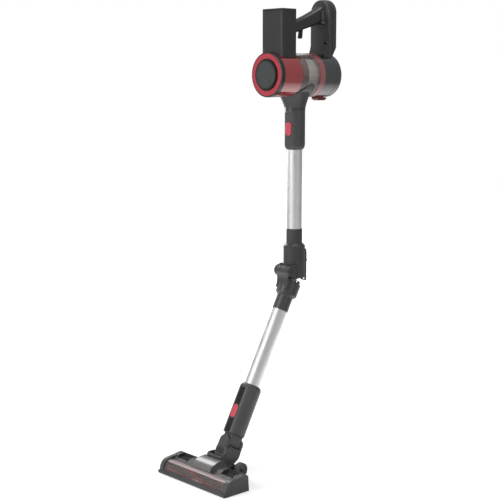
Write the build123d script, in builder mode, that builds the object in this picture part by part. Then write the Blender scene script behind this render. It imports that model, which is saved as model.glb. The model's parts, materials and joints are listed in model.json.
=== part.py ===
"""Cordless stick vacuum: hand unit with dust barrel, bendable wand and powered floor head.

Frame: millimetres, +Z up, forward is -Y, the object's right side is +X. The origin is the
middle of the floor head's flat sole, on the floor. The upper wand stands vertical, and the
flex joint is bent so that the lower wand leans down and forward to the floor head.
"""
from build123d import *
from math import cos, radians, sin
import os

os.makedirs("parts", exist_ok=True)

# ---------------------------------------------------------------- driving dimensions
# wand
WAND_Y = 314.0  # upper wand axis, behind the middle of the sole
TUBE_R = 19.0
TUBE_WALL = 1.3
FIT = 0.05  # radial room of a tube or pin in its socket
LEAN = 28.6  # bend of the flex joint, lower wand from the vertical
HINGE_OFFSET = 33.0  # flex hinge axis in front of the wand axis
HINGE_Z = 497.0
COLLAR_R = 20.6
FLEX_TOP = 565.5
FLEX_BOTTOM = 477.0
FLEX_R = 28.0
FLEX_WALL = 3.0
SOCKET_Z = 808.0  # lower end of the upper wand connector
SOCKET_TOP = 908.0
SOCKET_R = 26.2
# distances down the lower wand, from the foot of the hinge axis
KNUCKLE_TOP = 20.6
KNUCKLE_END = 58.0
COLLAR_END = 98.0
SLEEVE_TOP = 304.0
SLEEVE_END = 437.0
SLEEVE_R = 27.9
SWIVEL_AT = 459.0
PITCH_AT = 518.0
# hand unit
BARREL_Z = 996.0
BARREL_R = 55.5
CAP_FRONT = WAND_Y - 100.0
MOTOR_FRONT = WAND_Y - 88.0
BIN_FRONT = WAND_Y - 27.0
LID_FRONT = WAND_Y + 96.0
LID_BACK = WAND_Y + 116.5
BATTERY_FRONT = WAND_Y - 82.0
BATTERY_DEPTH = 51.0
BATTERY_HALF = 37.0
BATTERY_TOP = 1158.0
TOWER_FRONT = WAND_Y + 88.0
TOWER_BACK = WAND_Y + 116.0
TOWER_HALF = 33.5
TOWER_TOP = 1187.0
# floor head
HEAD_HALF = 126.5
HEAD_FRONT = -39.0
HEAD_BACK = 40.0
CHEEK_IN = 112.0
BRUSH_Y = -16.5
BRUSH_Z = 14.2
BRUSH_R = 13.2
WHEEL_R = 19.0
WHEEL_Y = 86.0

# ---------------------------------------------------------------- derived places
HINGE_Y = WAND_Y - HINGE_OFFSET
LEAN_SIN = sin(radians(LEAN))
LEAN_COS = cos(radians(LEAN))
UP_WAND = Vector(0, LEAN_SIN, LEAN_COS)
REAR_OF_WAND = Vector(0, LEAN_COS, -LEAN_SIN)
FOOT = Vector(0, HINGE_Y, HINGE_Z) + REAR_OF_WAND * HINGE_OFFSET
PITCH = FOOT - UP_WAND * PITCH_AT
BIN_BACK = WAND_Y + 37.0
RING_BACK = WAND_Y + 55.0
SHELL_R = BARREL_R - 0.5  # motor housing and clear bin
REAR_R = BARREL_R - 0.3
TOWER_SEAM = TOWER_FRONT + 13.0
BARREL_AXIS = Axis((0, 0, BARREL_Z), (0, 1, 0))
UPPER_AXIS = Axis((0, WAND_Y, 0), (0, 0, 1))
LOWER_AXIS = Axis(FOOT, UP_WAND)


def barrel_plane(y):
    """Plane across the barrel at y, facing forward; sketch x is X, sketch y is up from its axis."""
    return Plane(origin=(0, y, BARREL_Z), x_dir=(1, 0, 0), z_dir=(0, -1, 0))


def barrel_profile():
    """Plane along the barrel; sketch x is Y and sketch y is the radius."""
    return Plane(origin=(0, 0, BARREL_Z), x_dir=(0, 1, 0), z_dir=(1, 0, 0))


def front_plane(y):
    """Plane facing forward at y; sketch x is X and sketch y is Z."""
    return Plane(origin=(0, y, 0), x_dir=(1, 0, 0), z_dir=(0, -1, 0))


def side_plane(x):
    """Plane facing right at x; sketch x is Y and sketch y is Z."""
    return Plane(origin=(x, 0, 0), x_dir=(0, 1, 0), z_dir=(1, 0, 0))


def upper_profile():
    """Plane through the upper wand axis; sketch x is the radius and sketch y is Z."""
    return Plane(origin=(0, WAND_Y, 0), x_dir=(1, 0, 0), z_dir=(0, -1, 0))


def lower_plane(along):
    """Plane across the lower wand, along millimetres up from the hinge; sketch y is its rear."""
    return Plane(origin=FOOT + UP_WAND * along, x_dir=(1, 0, 0), z_dir=UP_WAND)


def lower_profile():
    """Plane through the lower wand axis; sketch x is the radius and sketch y runs up it."""
    return Plane(origin=FOOT, x_dir=(1, 0, 0), z_dir=-REAR_OF_WAND)


def lower_front(rear):
    """Plane facing the front of the lower wand, rear millimetres behind its axis."""
    return Plane(origin=FOOT + REAR_OF_WAND * rear, x_dir=(1, 0, 0), z_dir=-REAR_OF_WAND)


def lower_side(x):
    """Plane facing right at x; sketch x is the rear of the lower wand and sketch y runs up it."""
    return Plane(origin=FOOT + Vector(x, 0, 0), x_dir=REAR_OF_WAND, z_dir=(1, 0, 0))


def save(builder, name):
    """Label a finished piece and write its STEP file."""
    builder.part.label = name
    export_step(builder.part, f"parts/{name}.step")


def barrel_ring(name, start, end, outer, inner, edge=0.0):
    """A ring of the barrel between the places start and end, with its outer rims eased."""
    with BuildPart() as piece:
        with BuildSketch(barrel_plane(end)):
            Circle(outer)
            Circle(inner, mode=Mode.SUBTRACT)
        extrude(amount=end - start)
        if edge:
            rims = piece.edges().filter_by(GeomType.CIRCLE)
            fillet(rims.filter_by(lambda rim: abs(rim.radius - outer) < 0.01), edge)
    save(piece, name)


def pins(name, places, radius):
    """Round pins along X through the middle plane; each place is (y, z, length)."""
    with BuildPart() as piece:
        for y, z, length in places:
            with BuildSketch(side_plane(-length / 2)):
                with Locations((y, z)):
                    Circle(radius)
            extrude(amount=length)
    save(piece, name)


# ================================================================ hand unit: barrel
# Red motor housing: a glossy tube closed at the back by a bulkhead with the air inlet.
BULKHEAD = 3.0
AIR_INLET_R = 20.0
with BuildPart() as motor_housing:
    with BuildSketch(barrel_plane(BIN_FRONT)):
        Circle(SHELL_R)
        Circle(SHELL_R - 2.5, mode=Mode.SUBTRACT)
    extrude(amount=BIN_FRONT - MOTOR_FRONT)
    with BuildSketch(barrel_plane(BIN_FRONT)):
        Circle(SHELL_R - 1.0)
        Circle(AIR_INLET_R, mode=Mode.SUBTRACT)
    extrude(amount=BULKHEAD)
save(motor_housing, "motor_housing")

# Clear dust bin, seated on the bulkhead; the duct of the funnel enters it from below.
DUCT_R = 14.0
with BuildPart() as bin_shell:
    with BuildSketch(barrel_plane(BIN_BACK)):
        Circle(SHELL_R)
        Circle(SHELL_R - 2.4, mode=Mode.SUBTRACT)
    extrude(amount=BIN_BACK - BIN_FRONT)
    with BuildSketch(Plane.XY.offset(BARREL_Z - BARREL_R - 5)):
        with Locations((0, WAND_Y)):
            Circle(DUCT_R)
    extrude(amount=30, mode=Mode.SUBTRACT)
save(bin_shell, "bin_shell")

# Dark seat band inside the front of the bin.
with BuildPart() as bin_collar:
    with BuildSketch(barrel_plane(BIN_FRONT + 24)):
        Circle(SHELL_R - 2.5)
        Circle(SHELL_R - 4.5, mode=Mode.SUBTRACT)
    extrude(amount=24)
    with BuildSketch(Plane.XY.offset(BARREL_Z - BARREL_R - 5)):
        with Locations((0, WAND_Y)):
            Circle(DUCT_R)
    extrude(amount=30, mode=Mode.SUBTRACT)
save(bin_collar, "bin_collar")

barrel_ring("bin_ring", BIN_BACK, RING_BACK, BARREL_R, BARREL_R - 9.0, 0.8)

# Rear housing: carries the handle tower and holds the cyclone; a flat below for the bin latch.
LATCH_HALF = 10.0
LATCH_TOP = BARREL_Z - REAR_R + 2.0
with BuildPart() as rear_housing:
    with BuildSketch(barrel_plane(LID_FRONT)):
        Circle(REAR_R)
        Circle(REAR_R - 4.2, mode=Mode.SUBTRACT)
    extrude(amount=LID_FRONT - RING_BACK)
    with BuildSketch(front_plane(LID_FRONT)):
        with Locations((0, LATCH_TOP - 4.0)):
            Rectangle(2 * LATCH_HALF + 1, 8.0)
    extrude(amount=34, mode=Mode.SUBTRACT)
save(rear_housing, "rear_housing")

# Cyclone: a hollow cone in the clear bin, flanged into the rear housing.
CONE_TIP_R = 27.0
CONE_R = 43.0
FLANGE_R = REAR_R - 4.2
with BuildPart() as cyclone_cone:
    with BuildSketch(barrel_profile()):
        with BuildLine():
            Polyline(
                (BIN_FRONT + 8, CONE_TIP_R),
                (BIN_BACK - 14, CONE_TIP_R + 8),
                (BIN_BACK + 2, CONE_R),
                (RING_BACK + 1, CONE_R),
                (RING_BACK + 1, FLANGE_R),
                (RING_BACK + 4, FLANGE_R),
                (RING_BACK + 4, CONE_R - 2),
                (BIN_BACK + 3, CONE_R - 2),
                (BIN_BACK - 13, CONE_TIP_R + 6),
                (BIN_FRONT + 8, CONE_TIP_R - 2),
                close=True,
            )
        make_face()
    revolve(axis=BARREL_AXIS)
save(cyclone_cone, "cyclone_cone")

# Mesh filter: a windowed basket plugged into the air inlet of the bulkhead.
MESH_R = 22.0
MESH_LENGTH = 92.0
MESH_WINDOWS = 8
with BuildPart() as mesh_filter:
    with BuildSketch(barrel_plane(BIN_FRONT + MESH_LENGTH)):
        Circle(MESH_R)
    extrude(amount=MESH_LENGTH)
    with BuildSketch(barrel_plane(BIN_FRONT)):
        Circle(AIR_INLET_R - FIT)
    extrude(amount=BULKHEAD)
    with BuildSketch(barrel_plane(BIN_FRONT + MESH_LENGTH - 2)):
        Circle(AIR_INLET_R - 2)
    extrude(amount=MESH_LENGTH + 2, mode=Mode.SUBTRACT)
    with BuildSketch(Plane(origin=(0, BIN_FRONT + MESH_LENGTH / 2, BARREL_Z), z_dir=(0, 0, 1))):
        Rectangle(8, MESH_LENGTH - 26)
    window = extrude(amount=MESH_R + 4, mode=Mode.PRIVATE)
    for turn in range(MESH_WINDOWS):
        add(window.rotate(BARREL_AXIS, turn * 360 / MESH_WINDOWS), mode=Mode.SUBTRACT)
save(mesh_filter, "mesh_filter")

# ================================================================ hand unit: motor
MOTOR_BACK = BIN_FRONT - 12.0
CAN_FRONT = MOTOR_FRONT + 20.0
CAN_R = 30.0
SHAFT_R = 2.5
BEARING_R = 6.5
with BuildPart() as motor_can:
    with BuildSketch(barrel_profile()):
        with BuildLine():
            Polyline(
                (CAN_FRONT, BEARING_R),
                (CAN_FRONT, CAN_R),
                (MOTOR_BACK, CAN_R),
                (MOTOR_BACK + 7, 16),
                (MOTOR_BACK + 9, 16),
                (MOTOR_BACK + 2, CAN_R + 3),
                (MOTOR_BACK + 2, SHELL_R - 2.6),
                (MOTOR_BACK - 1, SHELL_R - 2.6),
                (MOTOR_BACK - 1, CAN_R + 2),
                (CAN_FRONT - 2, CAN_R + 2),
                (CAN_FRONT - 2, BEARING_R),
                close=True,
            )
        make_face()
    revolve(axis=BARREL_AXIS)
    with BuildSketch(barrel_plane(CAN_FRONT + 1)):
        with PolarLocations(19, 6):
            Circle(6)
    extrude(amount=4, mode=Mode.SUBTRACT)
    with BuildSketch(barrel_plane(MOTOR_BACK - 9)):
        Circle(CAN_R)
        Circle(BEARING_R, mode=Mode.SUBTRACT)
    extrude(amount=2)
    with BuildSketch(barrel_plane(MOTOR_BACK - 8)):
        with PolarLocations(20, 6):
            Circle(6)
    extrude(amount=4, mode=Mode.SUBTRACT)
save(motor_can, "motor_can")

with BuildPart() as motor_stator:
    with BuildSketch(barrel_plane(CAN_FRONT + 18)):
        Circle(CAN_R)
        Circle(11, mode=Mode.SUBTRACT)
        with PolarLocations(19, 6, start_angle=30):
            SlotOverall(14, 5, rotation=90, mode=Mode.SUBTRACT)
    extrude(amount=14)
save(motor_stator, "motor_stator")

with BuildPart() as motor_bearings:
    for back in (CAN_FRONT, MOTOR_BACK - 9):
        with BuildSketch(barrel_plane(back)):
            Circle(BEARING_R)
            Circle(SHAFT_R + FIT, mode=Mode.SUBTRACT)
        extrude(amount=2)
save(motor_bearings, "motor_bearings")

with BuildPart() as motor_rotor:
    with BuildSketch(barrel_plane(MOTOR_BACK + 3)):
        Circle(SHAFT_R)
    extrude(amount=MOTOR_BACK + 3 - (CAN_FRONT - 3))
    with BuildSketch(barrel_plane(CAN_FRONT + 17)):
        Circle(10)
    extrude(amount=12)
save(motor_rotor, "motor_rotor")

# Impeller: nine backswept blades on a cone, turning just behind the stator.
BLADES = 9
with BuildPart() as impeller:
    with BuildSketch(barrel_profile()):
        with BuildLine():
            Polyline(
                (MOTOR_BACK - 6, SHAFT_R),
                (MOTOR_BACK - 6, 27),
                (MOTOR_BACK - 4.8, 27),
                (MOTOR_BACK + 2, 7),
                (MOTOR_BACK + 2, SHAFT_R),
                close=True,
            )
        make_face()
    revolve(axis=BARREL_AXIS)
    with BuildSketch(barrel_plane(MOTOR_BACK - 0.5)):
        with BuildLine():
            ThreePointArc((6, 0), (17, -3), (26, -12))
            Line((26, -12), (26.6, -11))
            ThreePointArc((26.6, -11), (17, -1.6), (6, 1.4))
            Line((6, 1.4), (6, 0))
        make_face()
    blade = extrude(amount=5, mode=Mode.PRIVATE)
    for turn in range(BLADES):
        add(blade.rotate(BARREL_AXIS, turn * 360 / BLADES))
save(impeller, "impeller")

# ================================================================ hand unit: front filter cap
CAP_EDGE = 2.5
CAP_FLOOR = CAP_FRONT + 2.5
VENT_R = 37.8
CAP_RED_R = 52.2
SPIGOT_R = SHELL_R - 2.5 - 0.3
with BuildPart() as filter_cap:
    with BuildSketch(barrel_profile()):
        with BuildLine():
            Polyline(
                (CAP_FLOOR, 34),
                (CAP_FLOOR, CAP_RED_R),
                (CAP_FRONT, CAP_RED_R),
                (CAP_FRONT, BARREL_R - CAP_EDGE),
            )
            CenterArc((CAP_FRONT + CAP_EDGE, BARREL_R - CAP_EDGE), CAP_EDGE, 90, 90)
            Polyline(
                (CAP_FRONT + CAP_EDGE, BARREL_R),
                (MOTOR_FRONT - 0.3, BARREL_R),
                (MOTOR_FRONT - 0.3, SPIGOT_R),
                (MOTOR_FRONT + 6, SPIGOT_R),
                (MOTOR_FRONT + 6, SPIGOT_R - 2),
                (MOTOR_FRONT - 3, SPIGOT_R - 2),
                (CAP_FLOOR + 2.5, SPIGOT_R - 2),
                (CAP_FLOOR + 2.5, 34),
                (CAP_FLOOR, 34),
            )
        make_face()
    revolve(axis=BARREL_AXIS)
save(filter_cap, "filter_cap")

barrel_ring("cap_ring", CAP_FRONT, CAP_FLOOR, CAP_RED_R, VENT_R + 2, 0.6)

# Vent grille: a proud disc with a honeycomb of holes.
with BuildPart() as cap_grille:
    with BuildSketch(barrel_plane(CAP_FLOOR)):
        Circle(VENT_R)
    extrude(amount=6.5)
    fillet(cap_grille.faces().sort_by(Axis.Y)[0].edges(), 1.5)
    with BuildSketch(barrel_plane(CAP_FLOOR)):
        Circle(VENT_R - 3)
    extrude(amount=4, mode=Mode.SUBTRACT)
    with BuildSketch(barrel_plane(CAP_FLOOR)):
        with HexLocations(3.9, 7, 7):
            RegularPolygon(2.7, 6)
        Circle(VENT_R - 5, mode=Mode.INTERSECT)
    extrude(amount=8, mode=Mode.SUBTRACT)
save(cap_grille, "cap_grille")

# Pleated exhaust filter ring with its closed end plate.
PLEATS = 30
FILTER_BACK = CAP_FLOOR + 2.5 + 17.0
with BuildPart() as exhaust_filter:
    with BuildSketch(barrel_plane(FILTER_BACK)):
        with BuildLine():
            ridges = []
            for fold in range(2 * PLEATS):
                angle = radians(fold * 180 / PLEATS)
                radius = 46 if fold % 2 else 41.5
                ridges.append((radius * cos(angle), radius * sin(angle)))
            Polyline(*ridges, close=True)
        make_face()
        Circle(38, mode=Mode.SUBTRACT)
    extrude(amount=17)
    with BuildSketch(barrel_plane(FILTER_BACK + 2)):
        Circle(46.5)
    extrude(amount=2)
save(exhaust_filter, "exhaust_filter")

# ================================================================ hand unit: rear lid and latch
LID_HINGE_Y = WAND_Y + 105.0
LID_HINGE_Z = 1057.0
LUG_HALF = 12.0
LUG_R = 4.6
LID_EDGE = 4.0
with BuildPart() as rear_lid:
    with BuildSketch(barrel_profile()):
        with BuildLine():
            Polyline(
                (LID_BACK, 0),
                (LID_FRONT + 5, 0),
                (LID_FRONT + 5, BARREL_R - 6),
                (LID_FRONT + 0.5, BARREL_R - 6),
                (LID_FRONT + 0.5, BARREL_R),
                (LID_BACK - 1.5 - LID_EDGE, BARREL_R),
            )
            ThreePointArc(
                (LID_BACK - 1.5 - LID_EDGE, BARREL_R),
                (LID_BACK - 1.2 - LID_EDGE * 0.3, BARREL_R - LID_EDGE * 0.3),
                (LID_BACK - 1.2, BARREL_R - LID_EDGE),
            )
            Line((LID_BACK - 1.2, BARREL_R - LID_EDGE), (LID_BACK, 0))
        make_face()
    revolve(axis=BARREL_AXIS)
    with BuildSketch(barrel_plane(LID_FRONT + 15.5)):
        Circle(BARREL_R - 10)
    extrude(amount=12, mode=Mode.SUBTRACT)
    with BuildSketch(side_plane(-LUG_HALF)):
        with BuildLine():
            CenterArc((LID_HINGE_Y, LID_HINGE_Z), LUG_R, 0, 180)
            Polyline(
                (LID_HINGE_Y - LUG_R, LID_HINGE_Z),
                (LID_HINGE_Y - LUG_R, LID_HINGE_Z - 10.5),
                (LID_HINGE_Y + LUG_R, LID_HINGE_Z - 10.5),
                (LID_HINGE_Y + LUG_R, LID_HINGE_Z),
            )
        make_face()
    extrude(amount=2 * LUG_HALF)
    with BuildSketch(side_plane(-LUG_HALF - 1)):
        with Locations((LID_HINGE_Y, LID_HINGE_Z)):
            Circle(1.5 + FIT)
    extrude(amount=2 * LUG_HALF + 2, mode=Mode.SUBTRACT)
save(rear_lid, "rear_lid")
barrel_ring("lid_seal", LID_FRONT - 3, LID_FRONT + 5, BARREL_R - 6.3, BARREL_R - 9, 0.8)

# Bin latch: a red slide under the rear housing whose tip reaches under the lid rim.
LATCH_LOW = 932.0
with BuildPart() as bin_latch:
    with BuildSketch(side_plane(-LATCH_HALF)):
        with BuildLine():
            Polyline(
                (LID_FRONT - 26, LATCH_TOP - 0.3),
                (LID_FRONT - 26, LATCH_LOW + 4),
                (LID_FRONT - 20, LATCH_LOW),
                (LID_FRONT + 4, LATCH_LOW),
                (LID_FRONT + 9, LATCH_LOW + 3.5),
                (LID_FRONT + 9, BARREL_Z - BARREL_R - 0.8),
                (LID_FRONT - 1, BARREL_Z - BARREL_R - 0.8),
                (LID_FRONT - 1, LATCH_TOP - 0.3),
                close=True,
            )
        make_face()
    extrude(amount=2 * LATCH_HALF)
    fillet(bin_latch.edges().filter_by(Axis.X).group_by(Axis.Z)[0], 2.5)
    fillet(bin_latch.faces().sort_by(Axis.Z)[0].edges().filter_by(Axis.Y), 1.5)
    for place in (LID_FRONT - 13, LID_FRONT - 10, LID_FRONT - 7, LID_FRONT - 4):
        with BuildSketch(front_plane(place)):
            with Locations((0, LATCH_LOW)):
                Rectangle(2 * LATCH_HALF - 5, 1.4)
        extrude(amount=1.2, mode=Mode.SUBTRACT)
save(bin_latch, "bin_latch")

# ================================================================ hand unit: battery
CELL_FLOOR = 1057.0
SLEEVE_RIM = BATTERY_TOP - 3.7
BATTERY_BACK = BATTERY_FRONT + BATTERY_DEPTH
BATTERY_Y = BATTERY_FRONT + BATTERY_DEPTH / 2
SLEEVE_WALL = 2.5
PACK_ROOM = 0.4
PACK_HALF = BATTERY_HALF - SLEEVE_WALL - PACK_ROOM
PACK_DEPTH = BATTERY_DEPTH - 2 * (SLEEVE_WALL + PACK_ROOM)
CORNER_R = 5.5
CORNER_IN = CORNER_R - SLEEVE_WALL
BUTTON_Z = 1142.0  # battery release button in the rear wall
with BuildPart() as battery_sleeve:
    with BuildSketch(Plane.XY.offset(BARREL_Z)):
        with Locations((0, BATTERY_Y)):
            RectangleRounded(2 * BATTERY_HALF, BATTERY_DEPTH, CORNER_R)
    extrude(amount=SLEEVE_RIM - BARREL_Z)
    with BuildSketch(Plane.XY.offset(CELL_FLOOR)):
        with Locations((0, BATTERY_Y)):
            RectangleRounded(
                2 * (PACK_HALF + PACK_ROOM), PACK_DEPTH + 2 * PACK_ROOM, CORNER_IN
            )
    extrude(amount=110, mode=Mode.SUBTRACT)
    with BuildSketch(barrel_plane(BATTERY_BACK + 5)):
        Circle(SHELL_R)
    extrude(amount=BATTERY_DEPTH + 10, mode=Mode.SUBTRACT)
    with BuildSketch(front_plane(BATTERY_BACK + 1)):
        with Locations((0, SLEEVE_RIM)):
            Rectangle(17, 2 * (SLEEVE_RIM - BUTTON_Z + 5.5))
    extrude(amount=SLEEVE_WALL + 2, mode=Mode.SUBTRACT)
save(battery_sleeve, "battery_sleeve")

with BuildPart() as battery_case:
    with BuildSketch(Plane.XY.offset(CELL_FLOOR + 0.3)):
        with Locations((0, BATTERY_Y)):
            RectangleRounded(2 * PACK_HALF, PACK_DEPTH, CORNER_IN)
    extrude(amount=SLEEVE_RIM - CELL_FLOOR)
    with BuildSketch(Plane.XY.offset(SLEEVE_RIM + 0.3)):
        with Locations((0, BATTERY_Y)):
            RectangleRounded(2 * BATTERY_HALF, BATTERY_DEPTH, CORNER_R)
    extrude(amount=BATTERY_TOP - SLEEVE_RIM - 0.3)
    fillet(battery_case.faces().sort_by(Axis.Z)[-1].edges(), 1.6)
    with BuildSketch(Plane.XY.offset(CELL_FLOOR + 2)):
        with Locations((0, BATTERY_Y)):
            RectangleRounded(2 * PACK_HALF - 3, PACK_DEPTH - 3, CORNER_IN - 1.5)
    extrude(amount=SLEEVE_RIM - CELL_FLOOR - 4, mode=Mode.SUBTRACT)
    with BuildSketch(front_plane(BATTERY_BACK)):
        with Locations((0, BUTTON_Z)):
            Rectangle(14.6, 8.6)
    extrude(amount=SLEEVE_WALL + 4, mode=Mode.SUBTRACT)
save(battery_case, "battery_case")

CELL_R = 9.2
with BuildPart() as battery_cells:
    with BuildSketch(Plane.XY.offset(CELL_FLOOR + 2)):
        with Locations((0, BATTERY_Y)):
            with GridLocations(2 * CELL_R + 0.4, 2 * CELL_R + 0.4, 3, 2):
                Circle(CELL_R)
    extrude(amount=65)
save(battery_cells, "battery_cells")

# Release button on the back of the pack: a sprung tongue with a ribbed face.
with BuildPart() as battery_latch:
    with BuildSketch(front_plane(BATTERY_BACK + 1.8)):
        with Locations((0, BUTTON_Z)):
            RectangleRounded(14, 8, 1.5)
    extrude(amount=SLEEVE_WALL + 3.4)
    with BuildSketch(front_plane(BATTERY_BACK + 1.8)):
        with Locations((0, BUTTON_Z - 2), (0, BUTTON_Z), (0, BUTTON_Z + 2)):
            Rectangle(10, 0.9)
    extrude(amount=0.7, mode=Mode.SUBTRACT)
save(battery_latch, "battery_latch")

# ================================================================ hand unit: handle
SHELL = 2.5
ARCH_Z = TOWER_TOP - TOWER_HALF
TOWER_SOLID = 1068.0  # the tower is solid below this height, round the lid hinge
LID_ROOM_R = BARREL_R + 0.8


def tower_outline(grow=0.0, low=1000.0):
    """Face of the tower seen from the front: straight sides under a round top."""
    half = TOWER_HALF + grow
    with BuildSketch() as face:
        with BuildLine():
            Polyline((-half, ARCH_Z), (-half, low), (half, low), (half, ARCH_Z))
            CenterArc((0, ARCH_Z), half, 0, 180)
        make_face()
    return face.sketch


NOTCH_HALF = LUG_HALF + 2.0
NOTCH_TOP = LID_HINGE_Z + 9.0
JACK_X = 21.5
JACK_Z = 1078.0
JACK_R = 5.0
BOARD_Y = TOWER_FRONT + 7.0
TRIGGER_Y = 333.0
TRIGGER_Z = 1121.0
TRIGGER_HALF = 5.0
GRIP_SECTIONS = (  # y, middle height, height and width of the bar
    (BATTERY_BACK, 1108.2, 34.0, 30.0),
    (BATTERY_BACK + 60, 1128.6, 34.5, 29.0),
    (TOWER_FRONT, 1149.6, 47.3, 33.0),
)
FLARE_SECTIONS = (  # the same, where the bar spreads against the tower
    (TOWER_FRONT - 13, 1145.0, 41.0, 30.5),
    (TOWER_FRONT - 4, 1148.2, 49.0, 36.5),
    (TOWER_FRONT, 1149.6, 56.0, 43.0),
)


def bar_loft(sections, wall=0.0):
    """Rounded sections of the bar joined into one body, thinner by a wall all round."""
    with BuildPart() as body:
        for y, middle, height, width in sections:
            with BuildSketch(front_plane(y + wall)):
                with Locations((0, middle)):
                    RectangleRounded(width - 2 * wall, height - 2 * wall, 13 - wall)
        loft()
    return body.part


# Handle bar: a hollow grip rising from the battery sleeve to the tower.
with BuildPart() as grip_bar:
    add(bar_loft(GRIP_SECTIONS))
    add(bar_loft(FLARE_SECTIONS))
    add(bar_loft(GRIP_SECTIONS, SHELL), mode=Mode.SUBTRACT)
    # seat for the trigger switch, the trigger slot and the holes for its pin
    with BuildSketch(side_plane(-6)):
        Polygon((343, 1114), (355, 1117.2), (355, 1119.5), (343, 1119.5), align=None)
    extrude(amount=12)
    with BuildSketch(Plane.XY.offset(TRIGGER_Z - 7)):
        with Locations((0, TRIGGER_Y)):
            RectangleRounded(2 * TRIGGER_HALF + 1.2, 18, 2)
    extrude(amount=-16, mode=Mode.SUBTRACT)
    with BuildSketch(side_plane(-13.5)):
        with Locations((TRIGGER_Y, TRIGGER_Z)):
            Circle(1.5)
    extrude(amount=27, mode=Mode.SUBTRACT)
save(grip_bar, "grip_bar")

# Tower front: the face that the bar meets, with a curved foot on the rear housing.
with BuildPart() as tower_front:
    with BuildSketch(front_plane(TOWER_SEAM)):
        add(tower_outline())
    extrude(amount=TOWER_SEAM - TOWER_FRONT)
    front_rims = tower_front.faces().sort_by(Axis.Y)[0].edges()
    fillet(front_rims.filter_by(lambda rim: rim.center().Z > 1001), 3.0)
    with BuildSketch(side_plane(-TOWER_HALF + 3)):
        with BuildLine():
            Polyline(
                (TOWER_FRONT - 12, 1050),
                (TOWER_FRONT - 12, 1010),
                (TOWER_FRONT + 1, 1010),
                (TOWER_FRONT + 1, 1080),
                (TOWER_FRONT, 1080),
            )
            Spline(
                (TOWER_FRONT, 1080),
                (TOWER_FRONT - 3.5, 1063),
                (TOWER_FRONT - 12, 1050),
                tangents=((0, -1), (-1, -0.3)),
            )
        make_face()
    extrude(amount=2 * TOWER_HALF - 6)
    # hollow for the control board, open to the back, and the way for its wires into the bar
    with BuildSketch(front_plane(TOWER_SEAM)):
        add(tower_outline(-SHELL, TOWER_SOLID))
    extrude(amount=TOWER_SEAM - TOWER_FRONT - SHELL, mode=Mode.SUBTRACT)
    with BuildSketch(front_plane(TOWER_SEAM)):
        with Locations((0, 1149.6)):
            RectangleRounded(28, 42, 10)
    extrude(amount=TOWER_SEAM - TOWER_FRONT + 1, mode=Mode.SUBTRACT)
    # posts for the control board and the hole for the charging jack
    with BuildSketch(front_plane(BOARD_Y)):
        with Locations((0, 1131)):
            with GridLocations(34, 84, 2, 2):
                Circle(2.5)
    extrude(amount=BOARD_Y - TOWER_FRONT - SHELL + 0.5)
    with BuildSketch(front_plane(TOWER_SEAM)):
        with Locations((JACK_X, JACK_Z)):
            Circle(JACK_R)
    extrude(amount=TOWER_SEAM - TOWER_FRONT + 5, mode=Mode.SUBTRACT)
    # seat on the rear housing, room for the lid and its lug
    with BuildSketch(barrel_plane(LID_FRONT)):
        Circle(REAR_R)
    extrude(amount=60, mode=Mode.SUBTRACT)
    with BuildSketch(barrel_plane(TOWER_SEAM + 5)):
        Circle(LID_ROOM_R)
    extrude(amount=TOWER_SEAM + 5 - LID_FRONT, mode=Mode.SUBTRACT)
    with BuildSketch(Plane.XY.offset(940)):
        Rectangle(200, 1200)
    extrude(amount=BARREL_Z - 940 + 30, mode=Mode.SUBTRACT)
    with BuildSketch(front_plane(TOWER_SEAM + 2)):
        with Locations((0, NOTCH_TOP - 20)):
            Rectangle(2 * NOTCH_HALF, 40)
    extrude(amount=TOWER_SEAM + 2 - LID_FRONT - 0.3, mode=Mode.SUBTRACT)
save(tower_front, "tower_front")

with BuildPart() as tower_back:
    with BuildSketch(front_plane(TOWER_BACK)):
        add(tower_outline(0.8))
    extrude(amount=TOWER_BACK - TOWER_SEAM)
    back_rims = tower_back.faces().sort_by(Axis.Y)[-1].edges()
    fillet(back_rims.filter_by(lambda rim: rim.center().Z > 1001), 3.0)
    with BuildSketch(front_plane(TOWER_BACK - SHELL)):
        add(tower_outline(-SHELL, TOWER_SOLID))
    extrude(amount=TOWER_BACK - SHELL - TOWER_SEAM, mode=Mode.SUBTRACT)
    # slanted underside that clears the opening lid, and the notch for its lug
    with BuildSketch(side_plane(-60)):
        Polygon((410, 990), (440, 990), (440, 1085.2), (410, 1036.7), align=None)
    extrude(amount=120, mode=Mode.SUBTRACT)
    with BuildSketch(barrel_plane(TOWER_BACK + 1)):
        Circle(LID_ROOM_R)
    extrude(amount=TOWER_BACK + 1 - LID_FRONT, mode=Mode.SUBTRACT)
    with BuildSketch(front_plane(TOWER_BACK + 1)):
        with Locations((0, NOTCH_TOP - 20)):
            Rectangle(2 * NOTCH_HALF, 40)
    extrude(amount=TOWER_BACK + 1 - LID_FRONT, mode=Mode.SUBTRACT)
    with BuildSketch(side_plane(-19)):
        with Locations((LID_HINGE_Y, LID_HINGE_Z)):
            Circle(1.5)
    extrude(amount=38, mode=Mode.SUBTRACT)
save(tower_back, "tower_back")

with BuildPart() as control_board:
    with BuildSketch(front_plane(BOARD_Y + 1.6)):
        with Locations((0, 1131)):
            RectangleRounded(40, 92, 2)
    extrude(amount=1.6)
    with BuildSketch(front_plane(BOARD_Y + 4.6)):
        with Locations((-8, 1140), (9, 1128), (0, 1108)):
            Rectangle(11, 9)
    extrude(amount=3)
save(control_board, "control_board")

# Charging jack in the front face of the tower, with its centre pin.
JACK_BORE_R = 2.8
JACK_DEPTH = 8.5
with BuildPart() as charge_jack:
    with BuildSketch(front_plane(TOWER_FRONT + 10.5)):
        with Locations((JACK_X, JACK_Z)):
            Circle(JACK_R)
    extrude(amount=10.5)
    with BuildSketch(front_plane(TOWER_FRONT + JACK_DEPTH)):
        with Locations((JACK_X, JACK_Z)):
            Circle(JACK_BORE_R)
    extrude(amount=JACK_DEPTH, mode=Mode.SUBTRACT)
save(charge_jack, "charge_jack")

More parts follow.
